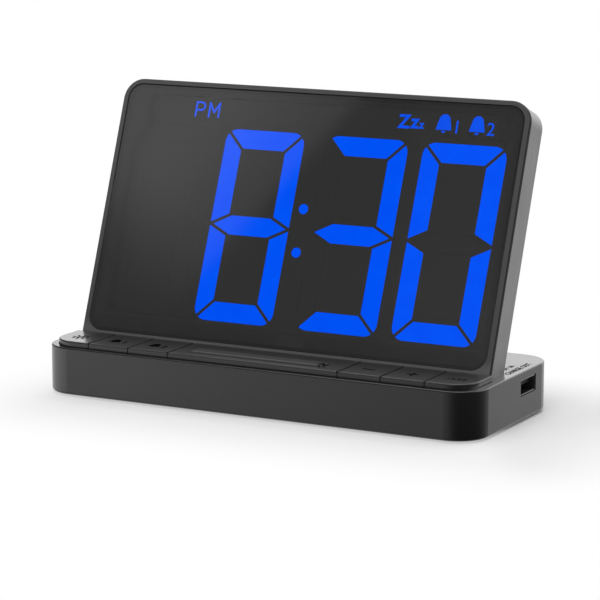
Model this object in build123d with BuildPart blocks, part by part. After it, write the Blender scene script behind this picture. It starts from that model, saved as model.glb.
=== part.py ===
from build123d import *
import os
from math import atan2, cos, degrees, radians, sin, tan

# Digital alarm clock: a low base with a row of keys and a display head that leans back.
# Millimetres. The origin is on the table under the middle of the base, +X is to the right
# seen from the front, +Y to the rear and +Z up.

# Base shell and its floor
base_width = 180.0
base_depth = 71.0
base_corner_radius = 12.0
base_wall = 2.0
rim_thickness = 2.0
rim_edge_radius = 0.5
bottom_edge_radius = 1.2
floor_thickness = 2.0
floor_clearance = 0.2

# Feet
foot_diameter = 10.0
foot_proud = 0.8
foot_seat_depth = 0.7
foot_inset = 15.0
foot_clearance = 0.15
foot_chamfer = 0.3

# Backup cell, its bay and its door
cell_diameter = 20.0
cell_thickness = 3.2
cell_clearance = 0.5
cell_gap = 0.2
cell_step = 0.8
bay_y = 10.0
bay_wall = 1.5
bay_roof = 1.0
contact_room = 0.5
contact_thickness = 0.25
contact_width = 2.4
contact_pad_diameter = 8.0
contact_dimple_diameter = 2.4
door_thickness = 1.5
door_overlap = 2.0
door_clearance = 0.2
door_lug_diameter = 7.0
door_lug_reach = 3.0
door_slot_length = 9.0
door_slot_width = 2.0
door_slot_depth = 0.7

# Circuit board in the base
board_thickness = 1.6
board_gap = 0.4
board_headroom = 7.6
board_side_margin = 5.5
board_front_margin = 3.0
board_rear_margin = 4.0
boss_clearance = 0.5
chip_size = 10.0
chip_height = 1.6
chip_x = 30.0
buzzer_diameter = 12.0
buzzer_height = 5.0
buzzer_hole_diameter = 2.2
buzzer_side = 24.0
sound_slot_length = 11.0
sound_slot_width = 1.6
sound_slot_pitch = 3.2
sound_slot_count = 4

# Charging port in the right wall
usb_width = 13.1
usb_height = 5.7
usb_length = 13.2
usb_wall = 0.3
usb_y = 11.5
usb_recess = 0.3
usb_cutout_clearance = 0.25
usb_tongue_width = 11.1
usb_tongue_thickness = 1.8
usb_tongue_length = 8.9
usb_tongue_rise = 1.1
usb_block_depth = 2.5
usb_back_thickness = 1.6

# Power inlet in the rear wall
jack_x = -30.0
jack_width = 6.6
jack_height = 5.6
jack_length = 11.0
jack_nose_diameter = 5.2
jack_bore_diameter = 3.5
jack_bore_depth = 9.0
jack_pin_diameter = 1.3
jack_pin_length = 7.5
jack_recess = 0.2
jack_cutout_clearance = 0.2

# Key deck
deck_height = 2.2
deck_front_inset = 2.1
deck_side_inset = 3.2
deck_corner_radius = 9.4
deck_groove = 0.5
deck_centre_width = 70.4
key_gap = 0.45
key_wall = 1.4
key_top_wall = 1.6
key_edge_radius = 0.5
key_rear_gap = 0.5
key_travel = 0.6
press_room = 0.3
flange_thickness = 1.05
flange_gap = 0.15
flange_reach = 1.5
flange_inset = 2.5
stem_size = 5.0
stem_rib = 1.2
stem_clearance = 0.3
frame_thickness = 1.6
frame_inset = 1.5
frame_boss_diameter = 3.4
frame_rear_land = 0.2
post_size = 4.0

# Push switches under the keys
switch_size = 6.0
switch_height = 2.0
plunger_diameter = 3.4
plunger_sink = 0.6
plunger_clearance = 0.1
stem_dip = 0.6

# Snooze bar
bar_length = 54.2
bar_depth = 5.6
bar_setback = 6.6
bar_proud = 0.75
bar_clearance = 0.3
bar_edge_radius = 0.5
bar_flange = 1.0
bar_flange_thickness = 1.5
bar_guide_spacing = 40.0
bar_guide_size = 3.0

# Display head, measured along its lean from where its front meets the rim
lean = 20.5
head_side_margin = 5.1
head_top_margin = 5.0
head_thickness = 13.9
head_front = -13.5
head_corner_radius = 8.0
head_wall = 1.8
head_rear_radius = 1.1
bezel_depth = 1.8
bezel_edge_radius = 0.45
parting_step = 0.25
window_side_border = 2.0
window_bottom = 3.0
window_top_border = 1.8
window_corner_radius = 6.0
window_thickness = 0.8
window_recess = 0.1
window_clearance = 0.1
window_ledge = 1.5

# Seven-segment digits
digit_width = 33.5
digit_height = 73.8
digit_stroke = 7.3
digit_corner_radius = 5.0
digit_slant = 0.8
digit_gap = 1.2
digit_bottom = 11.3
digit_pitch = 39.6
colon_pitch = 43.0
colon_dot_diameter = 3.8
colon_dot_spacing = 16.6
lens_thickness = 1.2
lens_clearance = 0.04
mask_border_x = 2.5
mask_border_y = 1.5
mask_thickness = 4.2
mask_gap = 0.1
indicator_lift = 2.5
indicator_height = 8.2
afternoon_start = -54.2
afternoon_width = 13.0
sleep_start = 32.6
sleep_width = 12.4
alarm_one_width = 10.0
alarm_two_width = 11.6
indicator_gap = 3.4
display_board_thickness = 1.6
lamp_length = 2.8
lamp_width = 1.4
lamp_height = 0.7
driver_length = 16.0
driver_width = 7.0
driver_height = 1.4
driver_up = 60.0

# Joining of the display head and of the base
pillar_diameter = 4.2
pillar_clearance = 0.3
pillar_overrun = 0.6
pillar_top_side = 7.9
pillar_top_drop = 6.5
pillar_bottom_up = 8.3
clamp_post_diameter = 4.0
tenon_width = 60.0
tenon_depth = 6.0
tenon_drop = 4.0
tenon_clearance = 0.2
neck_screw_side = 19.4
neck_boss_diameter = 5.6
neck_boss_height = 5.5
screw_shank_diameter = 2.4
screw_head_diameter = 4.6
screw_head_height = 1.3
screw_head_edge = 0.3
screw_clearance = 0.1
screw_hole_clearance = 0.3
screw_bite = 5.0
screw_drive_share = 0.6
screw_drive_width = 0.7
screw_drive_depth = 0.6
boss_diameter = 6.0
boss_front_side = 40.0
boss_front_setback = 8.5
boss_rear_side = 32.0
boss_rear_inset = 10.5
board_screw_x = 15.0

# Flat cable from display board to main board
ribbon_width = 12.0
ribbon_thickness = 0.3
ribbon_bend = 1.5
ribbon_clearance = 0.6
socket_width = 16.0
socket_depth = 4.0
socket_height = 1.6
socket_up = 14.0

# Levels above the table
base_bottom = foot_proud
floor_top = base_bottom + floor_thickness
door_top = base_bottom + door_thickness
cell_bottom = door_top + cell_gap
bay_top = cell_bottom + cell_thickness + contact_room
board_bottom = bay_top + bay_roof + board_gap
board_top = board_bottom + board_thickness
ceiling = board_top + board_headroom
rim = ceiling + rim_thickness
deck_top = rim + deck_height
port_level = board_top + board_headroom / 2
flange_top = ceiling - flange_gap
key_bottom = flange_top - flange_thickness
frame_top = key_bottom - key_travel - press_room
frame_bottom = frame_top - frame_thickness
switch_top = board_top + switch_height
plunger_top = frame_bottom + stem_dip
plunger_bottom = switch_top - plunger_sink

# Plan of the base
half_width = base_width / 2
half_depth = base_depth / 2
deck_front = deck_front_inset - half_depth
deck_half_width = half_width - deck_side_inset
deck_middle = (deck_front + head_front) / 2
bar_middle = deck_front + bar_setback
key_names = ["inner", "middle", "outer"]
key_pitch = (deck_half_width - deck_centre_width / 2) / len(key_names)
key_edges = [deck_centre_width / 2 + step * key_pitch for step in range(len(key_names))]
buzzer_x = buzzer_side - half_width
boss_front_x = half_width - boss_front_side
boss_rear_x = half_width - boss_rear_side
boss_front_y = head_front + boss_front_setback
boss_rear_y = half_depth - boss_rear_inset
front_bosses = [(-boss_front_x, boss_front_y), (boss_front_x, boss_front_y)]
rear_bosses = [(-boss_rear_x, boss_rear_y), (boss_rear_x, boss_rear_y)]
base_screw_spots = front_bosses + rear_bosses
board_screw_spots = [(-board_screw_x, boss_rear_y), (board_screw_x, boss_rear_y)]
frame_boss_y = head_front + frame_rear_land + frame_boss_diameter / 2
frame_boss_spots = [(side * key_edges[step], frame_boss_y) for side in (-1, 1) for step in (0, 2)]
key_starts = [edge + key_gap / 2 for edge in key_edges]
key_ends = [key_edges[1] - key_gap / 2, key_edges[2] - key_gap / 2, deck_half_width]
key_centres = [(start + end) / 2 for start, end in zip(key_starts, key_ends)]
switch_spots = [(side * x, deck_middle) for side in (-1, 1) for x in key_centres] + [(0, bar_middle)]

# Frame of the display head: local x to the right, local y up the lean, local z out of the front
lean_sin = sin(radians(lean))
lean_cos = cos(radians(lean))
head_plane = Plane(origin=(0, head_front, rim), x_dir=(1, 0, 0), z_dir=(0, -lean_cos, lean_sin))
rim_plane = Plane.XY.offset(rim)
key_rear_plane = head_plane.offset(key_rear_gap)
ledge_depth = window_recess + window_thickness
mask_front = ledge_depth + mask_gap
lamp_board_front = mask_front + mask_thickness
lamp_board_back = lamp_board_front + display_board_thickness
pillar_end = lamp_board_back + pillar_overrun
digit_middle = digit_bottom + digit_height / 2
indicator_middle = digit_bottom + digit_height + indicator_lift + indicator_height / 2
inner_digit = colon_pitch / 2
outer_digit = inner_digit + digit_pitch
digit_centres = [-outer_digit, -inner_digit, inner_digit, outer_digit]
alarm_one_start = sleep_start + sleep_width + indicator_gap
alarm_two_start = alarm_one_start + alarm_one_width + indicator_gap
indicator_spans = [
    (afternoon_start, afternoon_start + afternoon_width),
    (sleep_start, sleep_start + sleep_width),
    (alarm_one_start, alarm_one_start + alarm_one_width),
    (alarm_two_start, alarm_two_start + alarm_two_width),
]
mask_half_width = digit_centres[3] + digit_width / 2 + mask_border_x
mask_bottom = digit_bottom - mask_border_y
mask_top = indicator_middle + indicator_height / 2 + mask_border_y
head_width = 2 * (mask_half_width + head_side_margin)
head_length = mask_top + head_top_margin
window_width = head_width - 2 * window_side_border
window_top = head_length - window_top_border
neck_screw_x = head_width / 2 - neck_screw_side
pillar_top_x = head_width / 2 - pillar_top_side
pillar_bottom_x = (digit_centres[2] + digit_centres[3]) / 2
pillar_top_up = head_length - pillar_top_drop
pillar_spots = [(side * x, y) for side in (-1, 1)
                for x, y in ((pillar_top_x, pillar_top_up), (pillar_bottom_x, pillar_bottom_up))]
neck_y = head_front + (bezel_depth + head_thickness) / (2 * lean_cos)
neck_screw_spots = [(-neck_screw_x, neck_y), (neck_screw_x, neck_y)]
ribbon_depth = lamp_board_back + socket_height / 2
ribbon_turn_up = (head_wall + ribbon_depth * lean_sin) / lean_cos
ribbon_y = head_front + ribbon_turn_up * lean_sin + ribbon_depth * lean_cos

os.makedirs("parts", exist_ok=True)


def base_outline(inset):
    """Rounded plan of the base, drawn in by the inset."""
    with BuildSketch() as outline:
        RectangleRounded(base_width - 2 * inset, base_depth - 2 * inset, base_corner_radius - inset)
    return outline.sketch


def deck_outline(grow, left, right):
    """Plan of the key deck between two x values, with round front corners, grown by an amount."""
    back = head_front + deck_height
    with BuildSketch() as outline:
        with Locations((0, (deck_front - grow + back) / 2)):
            Rectangle(2 * (deck_half_width + grow), back - deck_front + grow)
        fillet(outline.vertices().group_by(Axis.Y)[0], deck_corner_radius + grow)
        with Locations(((left + right) / 2, (deck_front - grow + back) / 2)):
            Rectangle(right - left, back - deck_front + grow, mode=Mode.INTERSECT)
    return outline.sketch


def head_outline(inset):
    """Face of the display head with two round upper corners, drawn in at the sides and the top."""
    length = head_length - inset
    with BuildSketch() as outline:
        with Locations((0, length / 2)):
            Rectangle(head_width - 2 * inset, length)
        fillet(outline.vertices().group_by(Axis.Y)[-1], head_corner_radius - inset)
    return outline.sketch


def window_outline(inset):
    """Face of the smoked window, drawn in by the inset."""
    height = window_top - window_bottom - 2 * inset
    with BuildSketch() as outline:
        with Locations((0, (window_top + window_bottom) / 2)):
            RectangleRounded(window_width - 2 * inset, height, window_corner_radius - inset)
    return outline.sketch


def digit_segments(letters, grow):
    """Faces of the lettered segments of one digit about its middle, grown by a clearance."""
    stroke = digit_stroke
    inner_x = digit_width / 2 - stroke
    inner_y = digit_height / 2 - stroke
    window_height = (digit_height - 3 * stroke) / 2
    slit = digit_gap - 2 * grow
    foot_angles = (90 - digit_slant, 90 + digit_slant)
    drift = tan(radians(digit_slant))
    outer_height = digit_height + 2 * grow
    opening_height = window_height - 2 * grow
    with BuildSketch() as digit:
        Trapezoid(digit_width + 2 * grow + drift * outer_height, outer_height, *foot_angles)
        fillet(digit.vertices(), digit_corner_radius + grow)
        for side_y in (-1, 1):
            opening_y = side_y * (window_height + stroke) / 2
            with Locations((drift * opening_y, opening_y)):
                opening_width = 2 * (inner_x - grow) + drift * opening_height
                Trapezoid(opening_width, opening_height, *foot_angles, mode=Mode.SUBTRACT)
        for side_x in (-1, 1):
            for side_y in (-1, 1):
                corner_y = side_y * (inner_y + stroke / 2)
                with Locations((side_x * (inner_x + stroke / 2) + drift * corner_y, corner_y)):
                    Rectangle(2 * stroke, slit, rotation=side_x * side_y * 45, mode=Mode.SUBTRACT)
                slope = degrees(atan2(stroke / 2, stroke))
                with Locations((side_x * (inner_x + stroke / 2), side_y * stroke / 4)):
                    Rectangle(2 * stroke, slit, rotation=-side_x * side_y * slope, mode=Mode.SUBTRACT)
    middle = digit.faces().filter_by(lambda face: abs(face.center().X) < stroke).sort_by(Axis.Y)
    left = digit.faces().filter_by(lambda face: face.center().X < -stroke).sort_by(Axis.Y)
    right = digit.faces().filter_by(lambda face: face.center().X > stroke).sort_by(Axis.Y)
    segments = dict(zip("dga", middle)) | dict(zip("ef", left)) | dict(zip("cb", right))
    return [segments[letter] for letter in letters]


def screw(shank_length):
    """One cross-head screw, its shank up +Z from the seat of its head."""
    with BuildPart() as made:
        Cylinder(screw_head_diameter / 2, screw_head_height, align=(Align.CENTER, Align.CENTER, Align.MAX))
        chamfer(made.edges().group_by(Axis.Z)[0], screw_head_edge)
        Cylinder(screw_shank_diameter / 2, shank_length, align=(Align.CENTER, Align.CENTER, Align.MIN))
        with BuildSketch(Plane.XY.offset(-screw_head_height)):
            Rectangle(screw_head_diameter * screw_drive_share, screw_drive_width)
            Rectangle(screw_drive_width, screw_head_diameter * screw_drive_share)
        extrude(amount=screw_drive_depth, mode=Mode.SUBTRACT)
    return made.part


def key_stem(spots, size, bottom, top):
    """Cross-shaped ribs from under a key down to its switch, as a private part."""
    with BuildPart() as stem:
        with BuildSketch(Plane.XY.offset(bottom)):
            with Locations(*spots):
                Rectangle(size, stem_rib)
                Rectangle(stem_rib, size)
        extrude(amount=top - bottom)
    return stem.part


def switch_plunger(spot):
    """Round plunger of one push switch, standing in the well of its body."""
    with BuildPart() as plunger:
        with BuildSketch(Plane.XY.offset(plunger_bottom)):
            with Locations(spot):
                Circle(plunger_diameter / 2)
        extrude(amount=plunger_top - plunger_bottom)
    return plunger.part


# Base housing: a moulded shell, open below, with the key opening and the seat of the display head
with BuildPart() as base_housing:
    with BuildSketch(Plane.XY.offset(base_bottom)):
        add(base_outline(0))
    extrude(amount=rim - base_bottom)
    fillet(base_housing.edges().group_by(Axis.Z)[-1], rim_edge_radius)
    fillet(base_housing.edges().group_by(Axis.Z)[0], bottom_edge_radius)
    with BuildSketch(Plane.XY.offset(base_bottom)):
        add(base_outline(base_wall))
    extrude(amount=ceiling - base_bottom, mode=Mode.SUBTRACT)
    # Bosses for the floor, the board and the key frame hang from the ceiling
    with BuildSketch(Plane.XY.offset(floor_top)):
        with Locations(*base_screw_spots):
            Circle(boss_diameter / 2)
    extrude(amount=ceiling - floor_top)
    with BuildSketch(Plane.XY.offset(board_top)):
        with Locations(*board_screw_spots):
            Circle(boss_diameter / 2)
    extrude(amount=ceiling - board_top)
    with BuildSketch(Plane.XY.offset(frame_top)):
        with Locations(*frame_boss_spots):
            Circle(frame_boss_diameter / 2)
    extrude(amount=ceiling - frame_top)
    with BuildSketch(Plane.XY.offset(floor_top)):
        with Locations(*base_screw_spots):
            Circle(screw_shank_diameter / 2 + screw_clearance)
    extrude(amount=screw_bite + screw_clearance, mode=Mode.SUBTRACT)
    with BuildSketch(Plane.XY.offset(board_top)):
        with Locations(*board_screw_spots):
            Circle(screw_shank_diameter / 2 + screw_clearance)
    extrude(amount=screw_bite + screw_clearance, mode=Mode.SUBTRACT)
    # Opening of the key deck, which also thins the front wall behind the keys
    opening_edge = deck_half_width + deck_groove
    with BuildSketch(rim_plane):
        add(deck_outline(deck_groove, -opening_edge, opening_edge))
        with Locations((0, head_front + half_depth)):
            Rectangle(base_width, base_depth, mode=Mode.SUBTRACT)
    extrude(amount=key_bottom - key_travel - press_room - rim, mode=Mode.SUBTRACT)
    # Slot of the neck and holes of the neck screws
    with BuildSketch(rim_plane):
        with Locations((0, neck_y)):
            Rectangle(tenon_width + 2 * tenon_clearance, tenon_depth + 2 * tenon_clearance)
        with Locations(*neck_screw_spots):
            Circle(screw_shank_diameter / 2 + screw_hole_clearance)
    extrude(amount=-rim_thickness, mode=Mode.SUBTRACT)
    # Port in the right wall and inlet in the rear wall
    with BuildSketch(Plane.YZ.offset(half_width)):
        with Locations((usb_y, port_level)):
            Rectangle(usb_width + 2 * usb_cutout_clearance, usb_height + 2 * usb_cutout_clearance)
    extrude(amount=-base_wall, mode=Mode.SUBTRACT)
    with BuildSketch(Plane.XZ.offset(-half_depth)):
        with Locations((jack_x, port_level)):
            Circle(jack_nose_diameter / 2 + jack_cutout_clearance)
    extrude(amount=base_wall, mode=Mode.SUBTRACT)
base_housing.part.label = "base_housing"
export_step(base_housing.part, "parts/base_housing.step")

# Floor of the base: battery bay, seats of the feet, sound slots and posts under the board
bay_bore = cell_diameter / 2 + cell_clearance
door_radius = bay_bore + door_overlap
lug_x = -(door_radius + door_lug_reach)


def door_outline(grow):
    """Plan of the battery door: a disc with a lug for its screw, grown by a clearance."""
    with BuildSketch() as outline:
        with Locations((0, bay_y)):
            Circle(door_radius + grow)
        with Locations((lug_x, bay_y)):
            Circle(door_lug_diameter / 2 + grow)
        with Locations((lug_x / 2, bay_y)):
            Rectangle(-lug_x, door_lug_diameter + 2 * grow)
    return outline.sketch


foot_spots = [(side_x * (half_width - foot_inset), side_y * (half_depth - foot_inset))
              for side_x in (-1, 1) for side_y in (-1, 1)]
with BuildPart() as base_bottom_cover:
    with BuildSketch(Plane.XY.offset(base_bottom)):
        add(base_outline(base_wall + floor_clearance))
    extrude(amount=floor_thickness)
    with BuildSketch(Plane.XY.offset(floor_top)):
        with Locations((0, bay_y)):
            Circle(bay_bore + bay_wall)
    extrude(amount=bay_top + bay_roof - floor_top)
    with BuildSketch(Plane.XY.offset(floor_top)):
        with Locations((lug_x, bay_y)):
            Circle(door_lug_diameter / 2)
    extrude(amount=bay_top - floor_top)
    with BuildSketch(Plane.XY.offset(floor_top)):
        with Locations(*switch_spots):
            Circle(post_size / 2)
    extrude(amount=board_bottom - floor_top)
    with BuildSketch(Plane.XY.offset(base_bottom)):
        add(door_outline(door_clearance))
    extrude(amount=door_thickness, mode=Mode.SUBTRACT)
    with BuildSketch(Plane.XY.offset(base_bottom)):
        with Locations((0, bay_y)):
            Circle(bay_bore)
    extrude(amount=bay_top - base_bottom, mode=Mode.SUBTRACT)
    with BuildSketch(Plane.XY.offset(base_bottom)):
        with Locations((lug_x, bay_y)):
            Circle(screw_shank_diameter / 2 + screw_clearance)
    extrude(amount=bay_top - base_bottom, mode=Mode.SUBTRACT)
    with BuildSketch(Plane.XY.offset(base_bottom)):
        with Locations(*foot_spots):
            Circle(foot_diameter / 2 + foot_clearance)
    extrude(amount=foot_seat_depth, mode=Mode.SUBTRACT)
    with BuildSketch(Plane.XY.offset(base_bottom)):
        with Locations(*base_screw_spots):
            Circle(screw_shank_diameter / 2 + screw_hole_clearance)
    extrude(amount=floor_thickness, mode=Mode.SUBTRACT)
    with BuildSketch(Plane.XY.offset(base_bottom)):
        with Locations(*base_screw_spots):
            Circle(screw_head_diameter / 2 + screw_hole_clearance)
    extrude(amount=screw_head_height, mode=Mode.SUBTRACT)
    with BuildSketch(Plane.XY.offset(base_bottom)):
        with Locations((buzzer_x, bay_y)):
            with GridLocations(0, sound_slot_pitch, 1, sound_slot_count):
                SlotOverall(sound_slot_length, sound_slot_width)
    extrude(amount=floor_thickness, mode=Mode.SUBTRACT)
base_bottom_cover.part.label = "base_bottom_cover"
export_step(base_bottom_cover.part, "parts/base_bottom_cover.step")

with BuildPart() as base_screws:
    with Locations(*[(x, y, base_bottom + screw_head_height) for x, y in base_screw_spots]):
        add(screw(floor_thickness - screw_head_height + screw_bite))
base_screws.part.label = "base_screws"
export_step(base_screws.part, "parts/base_screws.step")

with BuildPart() as rubber_feet:
    with BuildSketch():
        with Locations(*foot_spots):
            Circle(foot_diameter / 2)
    extrude(amount=foot_proud + foot_seat_depth)
    chamfer(rubber_feet.edges().group_by(Axis.Z)[0], foot_chamfer)
rubber_feet.part.label = "rubber_feet"
export_step(rubber_feet.part, "parts/rubber_feet.step")

# Backup cell, its contacts and its screwed door
with BuildPart() as battery_door:
    with BuildSketch(Plane.XY.offset(base_bottom)):
        add(door_outline(0))
    extrude(amount=door_thickness)
    with BuildSketch(Plane.XY.offset(base_bottom)):
        with Locations((0, bay_y)):
            SlotOverall(door_slot_length, door_slot_width)
    extrude(amount=door_slot_depth, mode=Mode.SUBTRACT)
    with BuildSketch(Plane.XY.offset(base_bottom)):
        with Locations((lug_x, bay_y)):
            Circle(screw_shank_diameter / 2 + screw_hole_clearance)
    extrude(amount=door_thickness, mode=Mode.SUBTRACT)
    with BuildSketch(Plane.XY.offset(base_bottom)):
        with Locations((lug_x, bay_y)):
            Circle(screw_head_diameter / 2 + screw_hole_clearance)
    extrude(amount=door_thickness / 2, mode=Mode.SUBTRACT)
battery_door.part.label = "battery_door"
export_step(battery_door.part, "parts/battery_door.step")

with BuildPart() as battery_door_screw:
    with Locations((lug_x, bay_y, base_bottom + door_thickness / 2)):
        add(screw(bay_top - screw_clearance - base_bottom - door_thickness / 2))
    split(bisect_by=Plane.XY.offset(base_bottom), keep=Keep.TOP)
battery_door_screw.part.label = "battery_door_screw"
export_step(battery_door_screw.part, "parts/battery_door_screw.step")

with BuildPart() as coin_cell:
    with BuildSketch(Plane.XY.offset(cell_bottom)):
        with Locations((0, bay_y)):
            Circle(cell_diameter / 2)
    extrude(amount=cell_thickness - cell_gap)
    with BuildSketch(Plane.XY.offset(cell_bottom + cell_thickness - cell_gap)):
        with Locations((0, bay_y)):
            Circle(cell_diameter / 2 - cell_step)
    extrude(amount=cell_gap)
coin_cell.part.label = "coin_cell"
export_step(coin_cell.part, "parts/coin_cell.step")

with BuildPart() as battery_contact_plus:
    with BuildSketch(Plane.XY.offset(cell_bottom)):
        with Locations((bay_bore - contact_thickness, bay_y)):
            Rectangle(contact_thickness, contact_width)
    extrude(amount=bay_top - cell_bottom)
battery_contact_plus.part.label = "battery_contact_plus"
export_step(battery_contact_plus.part, "parts/battery_contact_plus.step")

with BuildPart() as battery_contact_minus:
    with BuildSketch(Plane.XY.offset(bay_top)):
        with Locations((0, bay_y)):
            Circle(contact_pad_diameter / 2)
    extrude(amount=-contact_thickness)
    with BuildSketch(Plane.XY.offset(cell_bottom + cell_thickness)):
        with Locations((0, bay_y)):
            Circle(contact_dimple_diameter / 2)
    extrude(amount=contact_room - contact_thickness)
battery_contact_minus.part.label = "battery_contact_minus"
export_step(battery_contact_minus.part, "parts/battery_contact_minus.step")

# Circuit board of the base and what stands on it
board_half_width = half_width - base_wall - board_side_margin
board_front = base_wall + board_front_margin - half_depth
board_rear = half_depth - base_wall - board_rear_margin
with BuildPart() as main_board:
    with BuildSketch(Plane.XY.offset(board_bottom)):
        with Locations((0, (board_front + board_rear) / 2)):
            Rectangle(2 * board_half_width, board_rear - board_front)
        with Locations(*base_screw_spots):
            Circle(boss_diameter / 2 + boss_clearance, mode=Mode.SUBTRACT)
        with Locations(*board_screw_spots):
            Circle(screw_shank_diameter / 2 + screw_hole_clearance, mode=Mode.SUBTRACT)
    extrude(amount=board_thickness)
main_board.part.label = "main_board"
export_step(main_board.part, "parts/main_board.step")

with BuildPart() as board_screws:
    with Locations(*[(x, y, board_bottom) for x, y in board_screw_spots]):
        add(screw(board_thickness + screw_bite))
board_screws.part.label = "board_screws"
export_step(board_screws.part, "parts/board_screws.step")

with BuildPart() as control_chip:
    with BuildSketch(Plane.XY.offset(board_top)):
        with Locations((chip_x, bay_y)):
            Rectangle(chip_size, chip_size)
    extrude(amount=chip_height)
control_chip.part.label = "control_chip"
export_step(control_chip.part, "parts/control_chip.step")

with BuildPart() as buzzer:
    with BuildSketch(Plane.XY.offset(board_top)):
        with Locations((buzzer_x, bay_y)):
            Circle(buzzer_diameter / 2)
    extrude(amount=buzzer_height)
    with BuildSketch(Plane.XY.offset(board_top + buzzer_height)):
        with Locations((buzzer_x, bay_y)):
            Circle(buzzer_hole_diameter / 2)
    extrude(amount=-buzzer_height / 2, mode=Mode.SUBTRACT)
buzzer.part.label = "buzzer"
export_step(buzzer.part, "parts/buzzer.step")

# Charging port: drawn metal shell round a moulded tongue, its mouth flush with the right wall
usb_mouth = half_width - usb_recess
usb_back = usb_mouth - usb_length
with BuildPart() as usb_socket:
    with BuildSketch(Plane.YZ.offset(usb_back)):
        with Locations((usb_y, port_level)):
            Rectangle(usb_width, usb_height)
            Rectangle(usb_width - 2 * usb_wall, usb_height - 2 * usb_wall, mode=Mode.SUBTRACT)
    extrude(amount=usb_length)
usb_socket.part.label = "usb_socket"
export_step(usb_socket.part, "parts/usb_socket.step")

with BuildPart() as usb_tongue:
    with BuildSketch(Plane.YZ.offset(usb_back)):
        with Locations((usb_y, port_level)):
            Rectangle(usb_width - 2 * usb_wall, usb_height - 2 * usb_wall)
    extrude(amount=usb_block_depth)
    with BuildSketch(Plane.YZ.offset(usb_back + usb_block_depth)):
        with Locations((usb_y, port_level + usb_tongue_rise)):
            Rectangle(usb_tongue_width, usb_tongue_thickness)
    extrude(amount=usb_tongue_length)
    shell_bottom = port_level - usb_height / 2
    with BuildSketch(Plane.YZ.offset(usb_back)):
        with Locations((usb_y, (board_top + port_level + usb_height / 2) / 2)):
            Rectangle(usb_width, port_level + usb_height / 2 - board_top)
    extrude(amount=-usb_back_thickness)
    with BuildSketch(Plane.YZ.offset(usb_back)):
        with Locations((usb_y, (board_top + shell_bottom) / 2)):
            Rectangle(usb_width, shell_bottom - board_top)
    extrude(amount=board_half_width - usb_back)
usb_tongue.part.label = "usb_tongue"
export_step(usb_tongue.part, "parts/usb_tongue.step")

# Power inlet: moulded body whose nose fills the hole in the rear wall, and its centre pin
jack_face = half_depth - base_wall - jack_cutout_clearance
jack_mouth = half_depth - jack_recess
with BuildPart() as dc_jack:
    with BuildSketch(Plane.XZ.offset(-jack_face)):
        with Locations((jack_x, (board_top + port_level + jack_height / 2) / 2)):
            Rectangle(jack_width, port_level + jack_height / 2 - board_top)
    extrude(amount=jack_length)
    with BuildSketch(Plane.XZ.offset(-jack_mouth)):
        with Locations((jack_x, port_level)):
            Circle(jack_nose_diameter / 2)
    extrude(amount=jack_mouth - jack_face)
    with BuildSketch(Plane.XZ.offset(-jack_mouth)):
        with Locations((jack_x, port_level)):
            Circle(jack_bore_diameter / 2)
    extrude(amount=jack_bore_depth, mode=Mode.SUBTRACT)
dc_jack.part.label = "dc_jack"
export_step(dc_jack.part, "parts/dc_jack.step")

with BuildPart() as dc_jack_pin:
    with BuildSketch(Plane.XZ.offset(-(jack_mouth - jack_bore_depth))):
        with Locations((jack_x, port_level)):
            Circle(jack_pin_diameter / 2)
    extrude(amount=-jack_pin_length)
dc_jack_pin.part.label = "dc_jack_pin"
export_step(dc_jack_pin.part, "parts/dc_jack_pin.step")

# Push switches: one body under each key and one under the snooze bar
with BuildPart() as switch_bodies:
    with BuildSketch(Plane.XY.offset(board_top)):
        with Locations(*switch_spots):
            Rectangle(switch_size, switch_size)
    extrude(amount=switch_height)
    with BuildSketch(Plane.XY.offset(switch_top)):
        with Locations(*switch_spots):
            Circle(plunger_diameter / 2 + plunger_clearance)
    extrude(amount=-(plunger_sink + key_travel + press_room), mode=Mode.SUBTRACT)
switch_bodies.part.label = "switch_bodies"
export_step(switch_bodies.part, "parts/switch_bodies.step")

# Key frame: plate under the deck whose windows guide the stems of the keys
guide_spots = [(-bar_guide_spacing / 2, bar_middle), (bar_guide_spacing / 2, bar_middle)]
stem_window = stem_size + 2 * stem_clearance
guide_window = bar_guide_size + 2 * stem_clearance
with BuildPart() as key_frame:
    frame_edge = deck_half_width - frame_inset
    frame_back = frame_boss_y + frame_boss_diameter / 2
    with BuildSketch(Plane.XY.offset(frame_bottom)):
        add(deck_outline(-frame_inset, -frame_edge, frame_edge))
        with Locations((0, (deck_middle + frame_back) / 2)):
            Rectangle(2 * frame_edge, frame_back - deck_middle)
        with Locations(*switch_spots):
            Rectangle(stem_window, stem_window, mode=Mode.SUBTRACT)
        with Locations(*guide_spots):
            Rectangle(guide_window, guide_window, mode=Mode.SUBTRACT)
    extrude(amount=frame_thickness)
    # The neck of the display head hangs just behind the plate
    with BuildSketch(Plane.XY.offset(frame_bottom)):
        with Locations((0, neck_y)):
            Rectangle(tenon_width + 2 * stem_clearance, tenon_depth + 2 * stem_clearance)
    extrude(amount=frame_thickness, mode=Mode.SUBTRACT)
key_frame.part.label = "key_frame"
export_step(key_frame.part, "parts/key_frame.step")

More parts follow.
